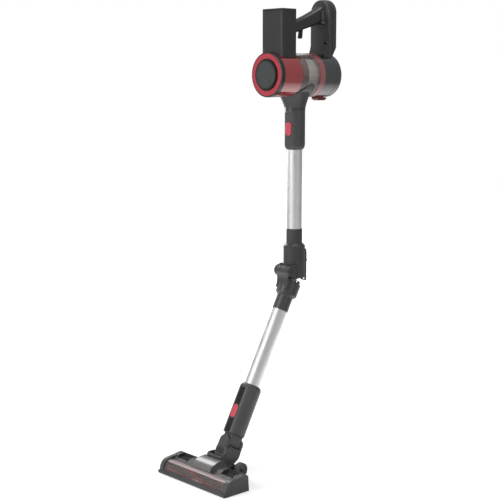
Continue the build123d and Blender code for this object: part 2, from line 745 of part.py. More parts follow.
with BuildPart() as trigger:
    with BuildSketch(side_plane(-TRIGGER_HALF)):
        with BuildLine():
            hub = CenterArc((TRIGGER_Y, TRIGGER_Z), 5.5, -30, 210)
            stem = Line(hub @ 1, (TRIGGER_Y - 5.5, TRIGGER_Z - 8))
            finger = ThreePointArc(
                stem @ 1,
                (TRIGGER_Y - 4.9, TRIGGER_Z - 20),
                (TRIGGER_Y - 7.5, TRIGGER_Z - 31),
            )
            tip = ThreePointArc(
                finger @ 1,
                (TRIGGER_Y - 3, TRIGGER_Z - 34),
                (TRIGGER_Y + 2, TRIGGER_Z - 30),
            )
            Line(tip @ 1, hub @ 0)
        make_face()
    extrude(amount=2 * TRIGGER_HALF)
    sides = trigger.faces().filter_by(Axis.X).edges()
    fillet(sides.filter_by(lambda rim: rim.center().Z < TRIGGER_Z - 7), 1.5)
    with BuildSketch(side_plane(-TRIGGER_HALF - 1)):
        with Locations((TRIGGER_Y, TRIGGER_Z)):
            Circle(1.5 + FIT)
    extrude(amount=2 * TRIGGER_HALF + 2, mode=Mode.SUBTRACT)
save(trigger, "trigger")

with BuildPart() as trigger_switch:
    with BuildSketch(Plane.XY.offset(1119.5)):
        with Locations((0, 349.5)):
            Rectangle(8, 11)
    extrude(amount=7)
    with BuildSketch(front_plane(345)):
        with Locations((0, 1122.5)):
            Circle(1.5)
    extrude(amount=2.5)
save(trigger_switch, "trigger_switch")

# ================================================================ hand unit: inlet funnel
NECK_TOP = 914.0
FUNNEL_R = 26.7
with BuildPart() as inlet_funnel:
    with BuildSketch(barrel_plane(WAND_Y + 27)):
        Circle(BARREL_R + 2)
    extrude(amount=55)
    with BuildSketch(side_plane(-60)):
        with BuildLine():
            Polyline(
                (WAND_Y + 22, 966),
                (WAND_Y + 27, 940),
                (WAND_Y + 27, 935),
                (WAND_Y - 28, 935),
                (WAND_Y - 28, 949.5),
                (WAND_Y + 2, 970),
            )
            ThreePointArc((WAND_Y + 2, 970), (WAND_Y + 13, 973.5), (WAND_Y + 22, 966))
        make_face()
    extrude(amount=120, mode=Mode.INTERSECT)
    with BuildSketch(Plane.XY.offset(SOCKET_TOP)):
        with Locations((0, WAND_Y)):
            Circle(FUNNEL_R)
    extrude(amount=NECK_TOP - SOCKET_TOP)
    for height, width, depth, centre, corner in (
        (NECK_TOP, 2 * FUNNEL_R, 2 * FUNNEL_R, WAND_Y, FUNNEL_R - 0.1),
        (930, 62, 61, WAND_Y - 1, 28),
        (956, 80, 76, WAND_Y - 3.5, 28),
    ):
        with BuildSketch(Plane.XY.offset(height)):
            with Locations((0, centre)):
                RectangleRounded(width, depth, corner)
    loft()
    for height, width, depth, centre, corner in (
        (NECK_TOP - 3, 2 * FUNNEL_R - 6, 2 * FUNNEL_R - 6, WAND_Y, FUNNEL_R - 3.1),
        (930, 57, 56, WAND_Y - 1, 25.5),
        (958, 75, 71, WAND_Y - 3.5, 25.5),
    ):
        with BuildSketch(Plane.XY.offset(height)):
            with Locations((0, centre)):
                RectangleRounded(width, depth, corner)
    loft(mode=Mode.SUBTRACT)
    with BuildSketch(Plane.XY.offset(SOCKET_TOP)):
        with Locations((0, WAND_Y)):
            Circle(DUCT_R + 2)
    extrude(amount=50)
    with BuildSketch(barrel_plane(WAND_Y + 60)):
        Circle(SHELL_R)
    extrude(amount=120, mode=Mode.SUBTRACT)
    with BuildSketch(Plane.XY.offset(SOCKET_TOP - 1)):
        with Locations((0, WAND_Y)):
            Circle(DUCT_R)
    extrude(amount=60, mode=Mode.SUBTRACT)
save(inlet_funnel, "inlet_funnel")

# ================================================================ upper wand
BUTTON_HALF = 10.0
BUTTON_LENGTH = 35.0
BUTTON_AT = 861.0
SOCKET_FLAT = 22.8
TUBE_IN_SOCKET = 838.0
with BuildPart() as wand_socket:
    with BuildSketch(upper_profile()):
        with BuildLine():
            Polyline(
                (DUCT_R, SOCKET_TOP),
                (SOCKET_R, SOCKET_TOP),
                (SOCKET_R, SOCKET_Z + 14),
            )
            TangentArc((SOCKET_R, SOCKET_Z + 14), (TUBE_R + 1.6, SOCKET_Z), tangent=(0, -1))
            Polyline(
                (TUBE_R + 1.6, SOCKET_Z),
                (TUBE_R + FIT, SOCKET_Z),
                (TUBE_R + FIT, TUBE_IN_SOCKET),
                (DUCT_R, TUBE_IN_SOCKET),
                (DUCT_R, SOCKET_TOP),
            )
        make_face()
    revolve(axis=UPPER_AXIS)
    with BuildSketch(front_plane(WAND_Y - SOCKET_FLAT)):
        with Locations((0, (SOCKET_Z + SOCKET_TOP) / 2 - 2)):
            Rectangle(80, SOCKET_TOP - SOCKET_Z - 8)
    extrude(amount=10, mode=Mode.SUBTRACT)
    # recess of the release button, with a raised rim
    with BuildSketch(front_plane(WAND_Y - SOCKET_FLAT)):
        with Locations((0, BUTTON_AT)):
            SlotOverall(BUTTON_LENGTH + 5, 2 * BUTTON_HALF + 4, rotation=90)
    extrude(amount=0.8)
    with BuildSketch(front_plane(WAND_Y - SOCKET_FLAT + 6.2)):
        with Locations((0, BUTTON_AT)):
            SlotOverall(BUTTON_LENGTH + 0.8, 2 * BUTTON_HALF + 0.8, rotation=90)
    extrude(amount=10, mode=Mode.SUBTRACT)
    with BuildSketch(Plane.XY.offset(SOCKET_Z - 1)):
        with Locations((0, WAND_Y)):
            Circle(TUBE_R + FIT)
    extrude(amount=TUBE_IN_SOCKET - SOCKET_Z + 1, mode=Mode.SUBTRACT)
save(wand_socket, "wand_socket")

# Release buttons: pill plates with rounded faces, each on a short stem.
with BuildPart() as wand_button:
    with BuildSketch(front_plane(WAND_Y - SOCKET_FLAT + 2)):
        with Locations((0, BUTTON_AT)):
            SlotOverall(BUTTON_LENGTH, 2 * BUTTON_HALF, rotation=90)
    extrude(amount=3.6)
    fillet(wand_button.faces().sort_by(Axis.Y)[0].edges(), 1.2)
save(wand_button, "wand_button")

TUBE_FOOT = 566.0
with BuildPart() as upper_tube:
    with BuildSketch(Plane.XY.offset(TUBE_FOOT)):
        with Locations((0, WAND_Y)):
            Circle(TUBE_R)
            Circle(TUBE_R - TUBE_WALL, mode=Mode.SUBTRACT)
    extrude(amount=TUBE_IN_SOCKET - TUBE_FOOT)
save(upper_tube, "upper_tube")

# ================================================================ flex joint
EAR_R = 14.4
EAR_IN = 20.0
EAR_OUT = 26.0
HINGE_PIN_R = 3.0
LEVER_Y = WAND_Y + 32.0
LEVER_Z = 520.0
LEVER_HALF = 8.5
COLLAR_TOP = 604.5
with BuildPart() as flex_housing:
    with BuildSketch(upper_profile()):
        with BuildLine():
            Polyline(
                (TUBE_R - TUBE_WALL, COLLAR_TOP),
                (COLLAR_R - 1, COLLAR_TOP),
                (COLLAR_R, COLLAR_TOP - 1),
                (COLLAR_R, FLEX_TOP + 2),
                (COLLAR_R + 1.6, FLEX_TOP + 1),
                (FLEX_R, FLEX_TOP - 5),
                (FLEX_R, FLEX_BOTTOM),
                (FLEX_R - FLEX_WALL, FLEX_BOTTOM),
                (FLEX_R - FLEX_WALL, FLEX_TOP - 9),
                (TUBE_R - TUBE_WALL, FLEX_TOP - 3),
                close=True,
            )
        make_face()
    revolve(axis=UPPER_AXIS)
    with BuildSketch(Plane.XY.offset(TUBE_FOOT)):
        with Locations((0, WAND_Y)):
            Circle(TUBE_R + FIT)
    extrude(amount=60, mode=Mode.SUBTRACT)
    # bracket in front, with a pair of hinge ears
    with BuildSketch(side_plane(-EAR_OUT)):
        with BuildLine():
            ear = CenterArc((HINGE_Y, HINGE_Z), EAR_R, 90, 180)
            Polyline(ear @ 1, (WAND_Y - 18, HINGE_Z - EAR_R), (WAND_Y - 18, 514), (HINGE_Y + 7, 514), ear @ 0)
        make_face()
    extrude(amount=2 * EAR_OUT)
    with BuildSketch(Plane.XY.offset(FLEX_BOTTOM - 1)):
        with Locations((0, WAND_Y)):
            Circle(FLEX_R - FLEX_WALL)
    extrude(amount=FLEX_TOP - 8 - FLEX_BOTTOM, mode=Mode.SUBTRACT)
    with BuildSketch(side_plane(-EAR_IN)):
        with Locations((HINGE_Y, HINGE_Z)):
            Circle(EAR_R + 0.7)
    extrude(amount=2 * EAR_IN, mode=Mode.SUBTRACT)
    with BuildSketch(side_plane(-EAR_IN)):
        Polygon(
            (HINGE_Y - 30, HINGE_Z - 30),
            (HINGE_Y + 4.6, HINGE_Z - 30),
            (HINGE_Y + 4.6, HINGE_Z + EAR_R + 4),
            (HINGE_Y - 30, HINGE_Z + EAR_R + 4),
            align=None,
        )
    extrude(amount=2 * EAR_IN, mode=Mode.SUBTRACT)
    with BuildSketch(side_plane(-EAR_OUT)):
        with Locations((HINGE_Y, HINGE_Z)):
            Circle(HINGE_PIN_R)
    extrude(amount=2 * EAR_OUT, mode=Mode.SUBTRACT)
    # lugs for the flex lever behind
    for inner in (-LEVER_HALF - 3.3, LEVER_HALF + 0.3):
        with BuildSketch(side_plane(inner)):
            with Locations((LEVER_Y, LEVER_Z)):
                Circle(4)
            with Locations((LEVER_Y - 4.5, LEVER_Z)):
                Rectangle(7, 8)
        extrude(amount=3)
    with BuildSketch(side_plane(-LEVER_HALF - 4)):
        with Locations((LEVER_Y, LEVER_Z)):
            Circle(1.5)
    extrude(amount=2 * LEVER_HALF + 8, mode=Mode.SUBTRACT)
save(flex_housing, "flex_housing")
pins("flex_pin", ((HINGE_Y, HINGE_Z, 2 * EAR_OUT),), HINGE_PIN_R)
pins(
    "hinge_pins",
    (
        (LID_HINGE_Y, LID_HINGE_Z, 38),
        (TRIGGER_Y, TRIGGER_Z, 27),
        (LEVER_Y, LEVER_Z, 2 * LEVER_HALF + 6.6),
    ),
    1.5,
)

# Flex lever: a rocking plate whose lower bar lies under the catch of the straight wand.
with BuildPart() as flex_lever:
    with BuildSketch(side_plane(-LEVER_HALF)):
        with BuildLine():
            Polyline(
                (WAND_Y + 31.5, 549),
                (WAND_Y + 31.5, 524),
            )
            ThreePointArc((WAND_Y + 31.5, 524), (WAND_Y + 28.7, 520), (WAND_Y + 31.5, 516))
            Polyline(
                (WAND_Y + 31.5, 516),
                (WAND_Y + 31.5, 486),
                (WAND_Y + 33.3, 482),
                (WAND_Y + 33.3, 465.5),
                (WAND_Y + 37, 465.5),
                (WAND_Y + 37, 520),
            )
            ThreePointArc((WAND_Y + 37, 520), (WAND_Y + 37.6, 536), (WAND_Y + 35.5, 549))
            Line((WAND_Y + 35.5, 549), (WAND_Y + 31.5, 549))
        make_face()
    extrude(amount=2 * LEVER_HALF)
    with BuildSketch(side_plane(-LEVER_HALF)):
        with Locations((LEVER_Y, LEVER_Z)):
            Circle(1.5 + FIT)
    extrude(amount=2 * LEVER_HALF, mode=Mode.SUBTRACT)
    with BuildSketch(front_plane(WAND_Y + 40)):
        with Locations((0, 476)):
            RectangleRounded(10, 16, 1)
    extrude(amount=12, mode=Mode.SUBTRACT)
save(flex_lever, "flex_lever")

# Bellows hose, bent through the joint along one arc.
HOSE_R = 14.3
HOSE_RIDGE_R = 16.0
HOSE_TOP = 553.0
BEND = Vector(0, WAND_Y, FOOT.Z + (WAND_Y - FOOT.Y) / LEAN_SIN * LEAN_COS)
BEND_LEG = 30.0
HOSE_FOOT = FOOT - UP_WAND * 54
with BuildPart() as flex_hose:
    with BuildLine():
        route = Polyline(
            Vector(0, WAND_Y, HOSE_TOP),
            BEND + Vector(0, 0, BEND_LEG),
        )
        turn = TangentArc(
            BEND + Vector(0, 0, BEND_LEG), BEND - UP_WAND * BEND_LEG, tangent=(0, 0, -1)
        )
        run = Line(BEND - UP_WAND * BEND_LEG, HOSE_FOOT)
    with BuildSketch(Plane(origin=(0, WAND_Y, HOSE_TOP), x_dir=(1, 0, 0), z_dir=(0, 0, -1))):
        Circle(HOSE_R)
    sweep()
    for edge, count in ((route, 3), (turn, 6), (run, 3)):
        for step in range(count):
            place = edge.location_at((step + 0.5) / count)
            with BuildSketch(Plane(place)):
                Circle(HOSE_RIDGE_R)
            extrude(amount=1.5, both=True)
    with BuildSketch(Plane(origin=(0, WAND_Y, HOSE_TOP), x_dir=(1, 0, 0), z_dir=(0, 0, -1))):
        Circle(HOSE_R - 1.3)
    sweep(path=Wire([route.edges()[0], turn.edges()[0], run.edges()[0]]), mode=Mode.SUBTRACT)
save(flex_hose, "flex_hose")

# ================================================================ lower wand
# Knuckle: flange under the flex housing, hinge barrel in front and the tube collar.
with BuildPart() as flex_knuckle:
    with BuildSketch(lower_profile()):
        with BuildLine():
            Polyline(
                (22, -KNUCKLE_TOP),
                (FLEX_R, -KNUCKLE_TOP),
                (FLEX_R, -KNUCKLE_END + 5),
                (COLLAR_R + 1.4, -KNUCKLE_END - 1),
                (COLLAR_R, -KNUCKLE_END - 3),
                (COLLAR_R, -COLLAR_END + 1),
                (COLLAR_R - 1, -COLLAR_END),
                (TUBE_R + FIT, -COLLAR_END),
                (TUBE_R + FIT, -KNUCKLE_END - 3),
                (TUBE_R - TUBE_WALL, -KNUCKLE_END - 3),
                (TUBE_R - TUBE_WALL, -KNUCKLE_END - 1),
                (22, -KNUCKLE_END + 3),
                close=True,
            )
        make_face()
    revolve(axis=LOWER_AXIS)
    with BuildSketch(lower_plane(-KNUCKLE_TOP)):
        Circle(24.4)
        Circle(22, mode=Mode.SUBTRACT)
        with Locations((0, -15)):
            Rectangle(60, 31, mode=Mode.SUBTRACT)
    extrude(amount=9)
    # hinge barrel and the curved web down to the flange
    with BuildSketch(lower_side(-EAR_IN + 0.5)):
        with Locations((-HINGE_OFFSET, 0)):
            Circle(EAR_R)
    extrude(amount=2 * EAR_IN - 1)
    with BuildSketch(lower_side(-EAR_IN + 0.5)):
        with BuildLine():
            ear = CenterArc((-HINGE_OFFSET, 0), EAR_R, 250, 18)
            rear = Polyline(
                ear @ 1,
                (-HINGE_OFFSET + 4.2, -EAR_R + 1),
                (-HINGE_OFFSET + 4.2, -KNUCKLE_TOP),
                (-17, -KNUCKLE_TOP),
                (-17, -KNUCKLE_END + 14),
                (-26, -KNUCKLE_END + 14),
            )
            ThreePointArc(rear @ 1, (-HINGE_OFFSET + 2.6, -25), ear @ 0)
        make_face()
    extrude(amount=2 * EAR_IN - 1)
    with BuildSketch(lower_plane(-KNUCKLE_END + 3)):
        Circle(22)
    extrude(amount=KNUCKLE_END - KNUCKLE_TOP - 3, mode=Mode.SUBTRACT)
    with BuildSketch(lower_side(-EAR_IN)):
        with Locations((-HINGE_OFFSET, 0)):
            Circle(HINGE_PIN_R + FIT)
    extrude(amount=2 * EAR_IN, mode=Mode.SUBTRACT)
    # catch behind, under the bar of the flex lever
    with BuildSketch(lower_side(-4.2)):
        Polygon((25, -26), (33.2, -26), (34, -25), (34, -22), (31, -21), (25, -21), align=None)
    extrude(amount=8.4)
    with BuildSketch(lower_plane(-KNUCKLE_END + 3)):
        Circle(22)
    extrude(amount=KNUCKLE_END - KNUCKLE_TOP - 3, mode=Mode.SUBTRACT)
save(flex_knuckle, "flex_knuckle")

LOWER_TUBE_END = SLEEVE_TOP + 41.0
with BuildPart() as lower_tube:
    with BuildSketch(lower_plane(-LOWER_TUBE_END)):
        Circle(TUBE_R)
        Circle(TUBE_R - TUBE_WALL, mode=Mode.SUBTRACT)
    extrude(amount=LOWER_TUBE_END - KNUCKLE_END - 3)
save(lower_tube, "lower_tube")

# Neck sleeve: a thick dark grip on the tube with its release button, ending in the swivel barrel.
SWIVEL_R = 15.5
SWIVEL_FRONT = -17.5
SWIVEL_REAR = 21.5
SLEEVE_FLAT = 26.2
HEAD_BUTTON_AT = 381.0
NECK_DUCT_R = 10.0
with BuildPart() as neck_sleeve:
    with BuildSketch(lower_profile()):
        with BuildLine():
            Polyline(
                (DUCT_R, -LOWER_TUBE_END),
                (TUBE_R + FIT, -LOWER_TUBE_END),
                (TUBE_R + FIT, -SLEEVE_TOP),
                (TUBE_R + 1.6, -SLEEVE_TOP),
            )
            TangentArc(
                (SLEEVE_R, -SLEEVE_TOP - 12), (TUBE_R + 1.6, -SLEEVE_TOP), tangent=(0, 1)
            )
            Polyline(
                (SLEEVE_R, -SLEEVE_TOP - 12),
                (SLEEVE_R, -SLEEVE_END + 2),
                (SLEEVE_R - 2, -SLEEVE_END),
                (DUCT_R, -SLEEVE_END),
                (DUCT_R, -LOWER_TUBE_END),
            )
        make_face()
    revolve(axis=LOWER_AXIS)
    with BuildSketch(lower_front(-SLEEVE_FLAT)):
        with Locations((0, -(SLEEVE_TOP + SLEEVE_END) / 2)):
            Rectangle(80, SLEEVE_END - SLEEVE_TOP + 10)
    extrude(amount=10, mode=Mode.SUBTRACT)
    with BuildSketch(lower_front(-SLEEVE_FLAT + 1)):
        with Locations((0, -HEAD_BUTTON_AT)):
            SlotOverall(39, 22, rotation=90)
    extrude(amount=1.8)
    with BuildSketch(lower_front(-SLEEVE_FLAT + 6.2)):
        with Locations((0, -HEAD_BUTTON_AT)):
            SlotOverall(34.8, 18.8, rotation=90)
    extrude(amount=10, mode=Mode.SUBTRACT)
    # swivel barrel across the wand, on a rounded block
    with BuildSketch(lower_plane(-SWIVEL_AT)):
        with Locations((0, (SWIVEL_FRONT + SWIVEL_REAR) / 2)):
            RectangleRounded(2 * SWIVEL_R, SWIVEL_REAR - SWIVEL_FRONT, 3)
    extrude(amount=SWIVEL_AT - SLEEVE_END)
    with BuildSketch(lower_front(SWIVEL_REAR)):
        with Locations((0, -SWIVEL_AT)):
            Circle(SWIVEL_R)
    extrude(amount=SWIVEL_REAR - SWIVEL_FRONT)
    with BuildSketch(lower_plane(-SWIVEL_AT - 20)):
        Circle(NECK_DUCT_R)
    extrude(amount=60, mode=Mode.SUBTRACT)
    with BuildSketch(lower_front(SWIVEL_REAR + 1)):
        with Locations((0, -SWIVEL_AT)):
            Circle(4 + FIT)
    extrude(amount=SWIVEL_REAR - SWIVEL_FRONT + 2, mode=Mode.SUBTRACT)
save(neck_sleeve, "neck_sleeve")

with BuildPart() as head_button:
    with BuildSketch(lower_front(-SLEEVE_FLAT + 2)):
        with Locations((0, -HEAD_BUTTON_AT)):
            SlotOverall(34, 18, rotation=90)
    extrude(amount=3.6)
    fillet(head_button.faces().sort_by(Axis((0, 0, 0), REAR_OF_WAND))[0].edges(), 1.2)
save(head_button, "head_button")

# ================================================================ swivel yoke
YOKE_HALF = 20.0
YOKE_TOP = SWIVEL_AT + SWIVEL_R + 0.7
PITCH_R = 13.5
PITCH_HALF = 29.0
with BuildPart() as swivel_yoke:
    with BuildSketch(lower_side(-YOKE_HALF)):
        with BuildLine():
            Polyline(
                (-24, -YOKE_TOP),
                (-24, -496),
                (-PITCH_R, -512),
                (-PITCH_R, -PITCH_AT),
                (PITCH_R, -PITCH_AT),
                (17, -508),
                (30, -484),
                (30, -YOKE_TOP),
                close=True,
            )
        make_face()
    extrude(amount=2 * YOKE_HALF)
    uprights = swivel_yoke.edges().filter_by(Axis((0, 0, 0), UP_WAND))
    fillet(uprights.filter_by(lambda edge: edge.length > 8), 4)
    for rear, thick, radius in ((-18, 6, 16.4), (30, 8, 17)):
        with BuildSketch(lower_front(rear)):
            with Locations((0, -SWIVEL_AT)):
                Circle(radius)
            with Locations((0, -SWIVEL_AT - 9)):
                Rectangle(2 * radius, 18)
        extrude(amount=thick)
    with BuildSketch(lower_side(-PITCH_HALF)):
        with Locations((0, -PITCH_AT)):
            Circle(PITCH_R)
    extrude(amount=2 * PITCH_HALF)
    # air duct down the neck, turning forward into the head
    with BuildSketch(lower_plane(-PITCH_AT)):
        Circle(NECK_DUCT_R)
    extrude(amount=60, mode=Mode.SUBTRACT)
    with BuildSketch(Plane(origin=PITCH, x_dir=(1, 0, 0), z_dir=(0, -1, 0))):
        Circle(NECK_DUCT_R)
    extrude(amount=30, mode=Mode.SUBTRACT)
    with BuildSketch(lower_front(31)):
        with Locations((0, -SWIVEL_AT)):
            Circle(4)
    extrude(amount=60, mode=Mode.SUBTRACT)
    for side in (-1, 1):
        with BuildSketch(side_plane(side * 22)):
            with Locations((PITCH.Y, PITCH.Z)):
                Circle(4 + FIT)
        extrude(amount=side * 10, mode=Mode.SUBTRACT)
    for groove in range(5):
        with BuildSketch(lower_front(-23)):
            with Locations(((groove - 2) * 5.2, -486)):
                Rectangle(2.2, 15)
        extrude(amount=3, mode=Mode.SUBTRACT)
save(swivel_yoke, "swivel_yoke")

with BuildPart() as swivel_pins:
    with BuildSketch(lower_front(-12)):
        with Locations((0, -SWIVEL_AT)):
            Circle(4)
    extrude(amount=12)
    with BuildSketch(lower_front(30)):
        with Locations((0, -SWIVEL_AT)):
            Circle(4)
    extrude(amount=16)
save(swivel_pins, "swivel_pins")

# ================================================================ floor head
MOUTH_HALF = 104.0
MOUTH_BACK = -4.0
BASE_TOP = 3.5
SHELL_HALF = CHEEK_IN - 0.1
DECK_BACK = 39.5
WINDOW_Y = -15.0
WINDOW_Z = 11.0
WINDOW_R = 20.0
RAIL_ARC = 27.0


def cheek_outline():
    """Side outline of the end cheeks: steep nose, flat top and upright back."""
    with BuildSketch() as face:
        with BuildLine():
            nose = Spline(
                (HEAD_FRONT, 2),
                (HEAD_FRONT + 1.5, 15.5),
                (HEAD_FRONT + 7, 27),
                (HEAD_FRONT + 15, 33.5),
                (-3, 37.2),
                (18, 40.4),
                (29, 41),
                tangents=((0, 1), (1, 0)),
            )
            shoulder = ThreePointArc(nose @ 1, (35.6, 38.2), (38, 31))
            Polyline(shoulder @ 1, (HEAD_BACK, 1), (HEAD_BACK - 1, 0), (HEAD_FRONT + 1, 0), nose @ 0)
        make_face()
    return face.sketch


with BuildPart() as head_cheeks:
    for side in (-1, 1):
        with BuildSketch(side_plane(side * CHEEK_IN)):
            add(cheek_outline())
        extrude(amount=side * (HEAD_HALF - CHEEK_IN))
        outer = head_cheeks.faces().sort_by(Axis.X)[-1 if side > 0 else 0]
        fillet(outer.edges().filter_by(lambda edge: edge.center().Z > 1.2), 3.5)
        with BuildSketch(side_plane(side * CHEEK_IN)):
            Polygon((-27, 6), (-24, 24), (-8, 31), (28, 34), (32, 6), align=None)
        extrude(amount=side * 8, mode=Mode.SUBTRACT)
save(head_cheeks, "head_cheeks")

# Base: sole plate round the suction mouth, bumper lip, chamber back wall and end plates.
with BuildPart() as head_base:
    with BuildSketch(side_plane(-SHELL_HALF)):
        with Locations((2, BASE_TOP / 2)):
            Rectangle(2 * (DECK_BACK - 2), BASE_TOP)
        Polygon(
            (HEAD_FRONT, 1.5),
            (HEAD_FRONT + 1, 0),
            (HEAD_FRONT + 4.5, 0),
            (HEAD_FRONT + 4.5, WINDOW_Z),
            (HEAD_FRONT + 1, WINDOW_Z),
            (HEAD_FRONT, WINDOW_Z - 1.5),
            align=None,
        )
    extrude(amount=2 * SHELL_HALF)
    # bumper lip, proud of the nose
    with BuildSketch(Plane.XY.offset(0.8)):
        with Locations((0, HEAD_FRONT - 1.7)):
            RectangleRounded(2 * HEAD_HALF, 3.2, 1.4)
        with Locations((0, HEAD_FRONT)):
            Rectangle(2 * SHELL_HALF, 2)
    extrude(amount=7)
    with BuildSketch(Plane.XY.offset(-1)):
        with Locations((0, (HEAD_FRONT + 4.5 + MOUTH_BACK) / 2)):
            Rectangle(2 * MOUTH_HALF, MOUTH_BACK - HEAD_FRONT - 4.5)
    extrude(amount=10, mode=Mode.SUBTRACT)
    with BuildSketch(side_plane(-MOUTH_HALF)):
        with BuildLine():
            inner = CenterArc((BRUSH_Y, BRUSH_Z), BRUSH_R + 1.3, -48, 94)
            outer = CenterArc((BRUSH_Y, BRUSH_Z), BRUSH_R + 3.8, -40, 86)
            Line(inner @ 0, (inner @ 0) + (3.4, 0))
            Line((inner @ 0) + (3.4, 0), outer @ 0)
            Line(inner @ 1, outer @ 1)
        make_face()
    extrude(amount=2 * MOUTH_HALF)
    for side in (-1, 1):
        with BuildSketch(side_plane(side * MOUTH_HALF)):
            with Locations((BRUSH_Y, BRUSH_Z)):
                Circle(13.5)
            with Locations((BRUSH_Y, 7)):
                Rectangle(27, 13)
            with Locations((BRUSH_Y, BRUSH_Z)):
                Circle(5, mode=Mode.SUBTRACT)
        extrude(amount=side * 2)
    # inlet from the chamber to the neck, and the bed of the brush motor
    with BuildSketch(Plane(origin=(0, 20, 17), x_dir=(1, 0, 0), z_dir=(0, -1, 0))):
        RectangleRounded(48, 15, 4)
    extrude(amount=40, mode=Mode.SUBTRACT)
    with BuildSketch(side_plane(44)):
        with Locations((18, 5)):
            Rectangle(12, 4)
        with Locations((18, 17)):
            Circle(11, mode=Mode.SUBTRACT)
    extrude(amount=50)
save(head_base, "head_base")


def hump(inset):
    """Solid of the raised middle of the cover, shrunk by inset on its outer sides."""
    with BuildPart() as body:
        with BuildSketch(Plane.XY.offset(28)):
            Polygon(
                (-37 + inset, -9), (37 - inset, -9), (59 - inset, 32), (59 - inset, DECK_BACK - inset),
                (-59 + inset, DECK_BACK - inset), (-59 + inset, 32), align=None,
            )
        with BuildSketch(Plane.XY.offset(53)):
            Polygon(
                (-33 + inset, -9), (33 - inset, -9), (33.5 - inset, 32), (33.5 - inset, DECK_BACK - inset),
                (-33.5 + inset, DECK_BACK - inset), (-33.5 + inset, 32), align=None,
            )
        loft(ruled=True)
        with BuildSketch(side_plane(-70)):
            with BuildLine():
                EllipticalCenterArc((32, 31 - inset), 40 - inset, 21, start_angle=90, arc_size=90)
                Polyline(
                    (-8 + inset, 31 - inset), (-8 + inset, 20), (45, 20), (45, 52 - inset),
                    (32, 52 - inset),
                )
            make_face()
        extrude(amount=140, mode=Mode.INTERSECT)
    return body.part


COVER_WALL = 2.2
with BuildPart() as head_cover:
    with BuildSketch(side_plane(-SHELL_HALF)):
        with BuildLine():
            Polyline((-8, 29.5), (13, 40), (29, 41))
            ThreePointArc((29, 41), (35.2, 38.2), (37.6, 31))
            Polyline((37.6, 31), (DECK_BACK, BASE_TOP), (1, BASE_TOP), (-8, 26.5), (-8, 29.5))
        make_face()
    extrude(amount=2 * SHELL_HALF)
    add(hump(0))
    with BuildSketch(side_plane(-SHELL_HALF)):
        with BuildLine():
            Polyline((-9, 26.6), (13.6, 37.7), (28.6, 38.7))
            ThreePointArc((28.6, 38.7), (33.4, 36.6), (35.3, 30.5))
            Polyline((35.3, 30.5), (DECK_BACK - COVER_WALL, 3), (-9, 3), (-9, 26.6))
        make_face()
    extrude(amount=2 * SHELL_HALF, mode=Mode.SUBTRACT)
    add(hump(COVER_WALL), mode=Mode.SUBTRACT)
    # open ledge round the neck, behind the hump
    with BuildSketch(Plane.XY.offset(50)):
        with Locations((0, 46)):
            RectangleRounded(52, 24, 3)
        with Locations((0, 52)):
            Rectangle(42.6, 28, mode=Mode.SUBTRACT)
    extrude(amount=12)
    with BuildSketch(side_plane(-27)):
        Polygon((33, 62.5), (33, 57), (41, 62.5), align=None)
        Polygon((50, 49.5), (59, 49.5), (59, 56), align=None)
    extrude(amount=54, mode=Mode.SUBTRACT)
    # pockets in the deck on both sides of the hump, each with a slot at one end
    for side in (-1, 1):
        with BuildSketch(side_plane(side * 60.5)):
            Polygon((0.5, 33.6), (13, 39.9), (28.8, 40.8), (31.5, 38), (31.5, 31), (0.5, 31), align=None)
        extrude(amount=side * 48)
        with BuildSketch(Plane.XY.offset(33.2)):
            with Locations((side * 84.5, 15.8)):
                RectangleRounded(44, 27, 2.5)
        extrude(amount=12, mode=Mode.SUBTRACT)
        with BuildSketch(Plane.XY.offset(30)):
            with Locations((side * 84.5 - 17, 16)):
                RectangleRounded(6, 18, 1.5)
        extrude(amount=12, mode=Mode.SUBTRACT)
    # gap in the back wall for the neck barrel
    with BuildSketch(Plane.XY.offset(-1)):
        with Locations((0, DECK_BACK + 5)):
            Rectangle(2 * PITCH_HALF + 2, 14)
    extrude(amount=50, mode=Mode.SUBTRACT)
    # sloped edge behind the hump, clear of the raised yoke
    with BuildSketch(side_plane(-21.3)):
        Polygon((35.6, 52.5), (40, 48.1), (40, 52.5), align=None)
    extrude(amount=42.6, mode=Mode.SUBTRACT)
save(head_cover, "head_cover")

with BuildPart() as head_window:
    with BuildSketch(side_plane(-SHELL_HALF)):
        with BuildLine():
            outer = CenterArc((WINDOW_Y, WINDOW_Z), WINDOW_R, 90 + RAIL_ARC, 90 - RAIL_ARC)
            inner = CenterArc((WINDOW_Y, WINDOW_Z), WINDOW_R - 2, 90 + RAIL_ARC, 90 - RAIL_ARC)
            Line(outer @ 0, inner @ 0)
            Line(outer @ 1, inner @ 1)
        make_face()
    extrude(amount=2 * SHELL_HALF)
save(head_window, "head_window")

with BuildPart() as head_rail:
    with BuildSketch(side_plane(-SHELL_HALF)):
        with BuildLine():
            outer = CenterArc((WINDOW_Y, WINDOW_Z), WINDOW_R + 0.4, 90, RAIL_ARC)
            inner = CenterArc((WINDOW_Y, WINDOW_Z), WINDOW_R - 2, 90, RAIL_ARC)
            Line(outer @ 1, inner @ 1)
            Polyline(
                inner @ 0,
                (WINDOW_Y + 6.8, 29),
                (WINDOW_Y + 6.8, 30.6),
                (WINDOW_Y + 5.8, 31.4),
                outer @ 0,
            )
        make_face()
    extrude(amount=2 * SHELL_HALF)
save(head_rail, "head_rail")

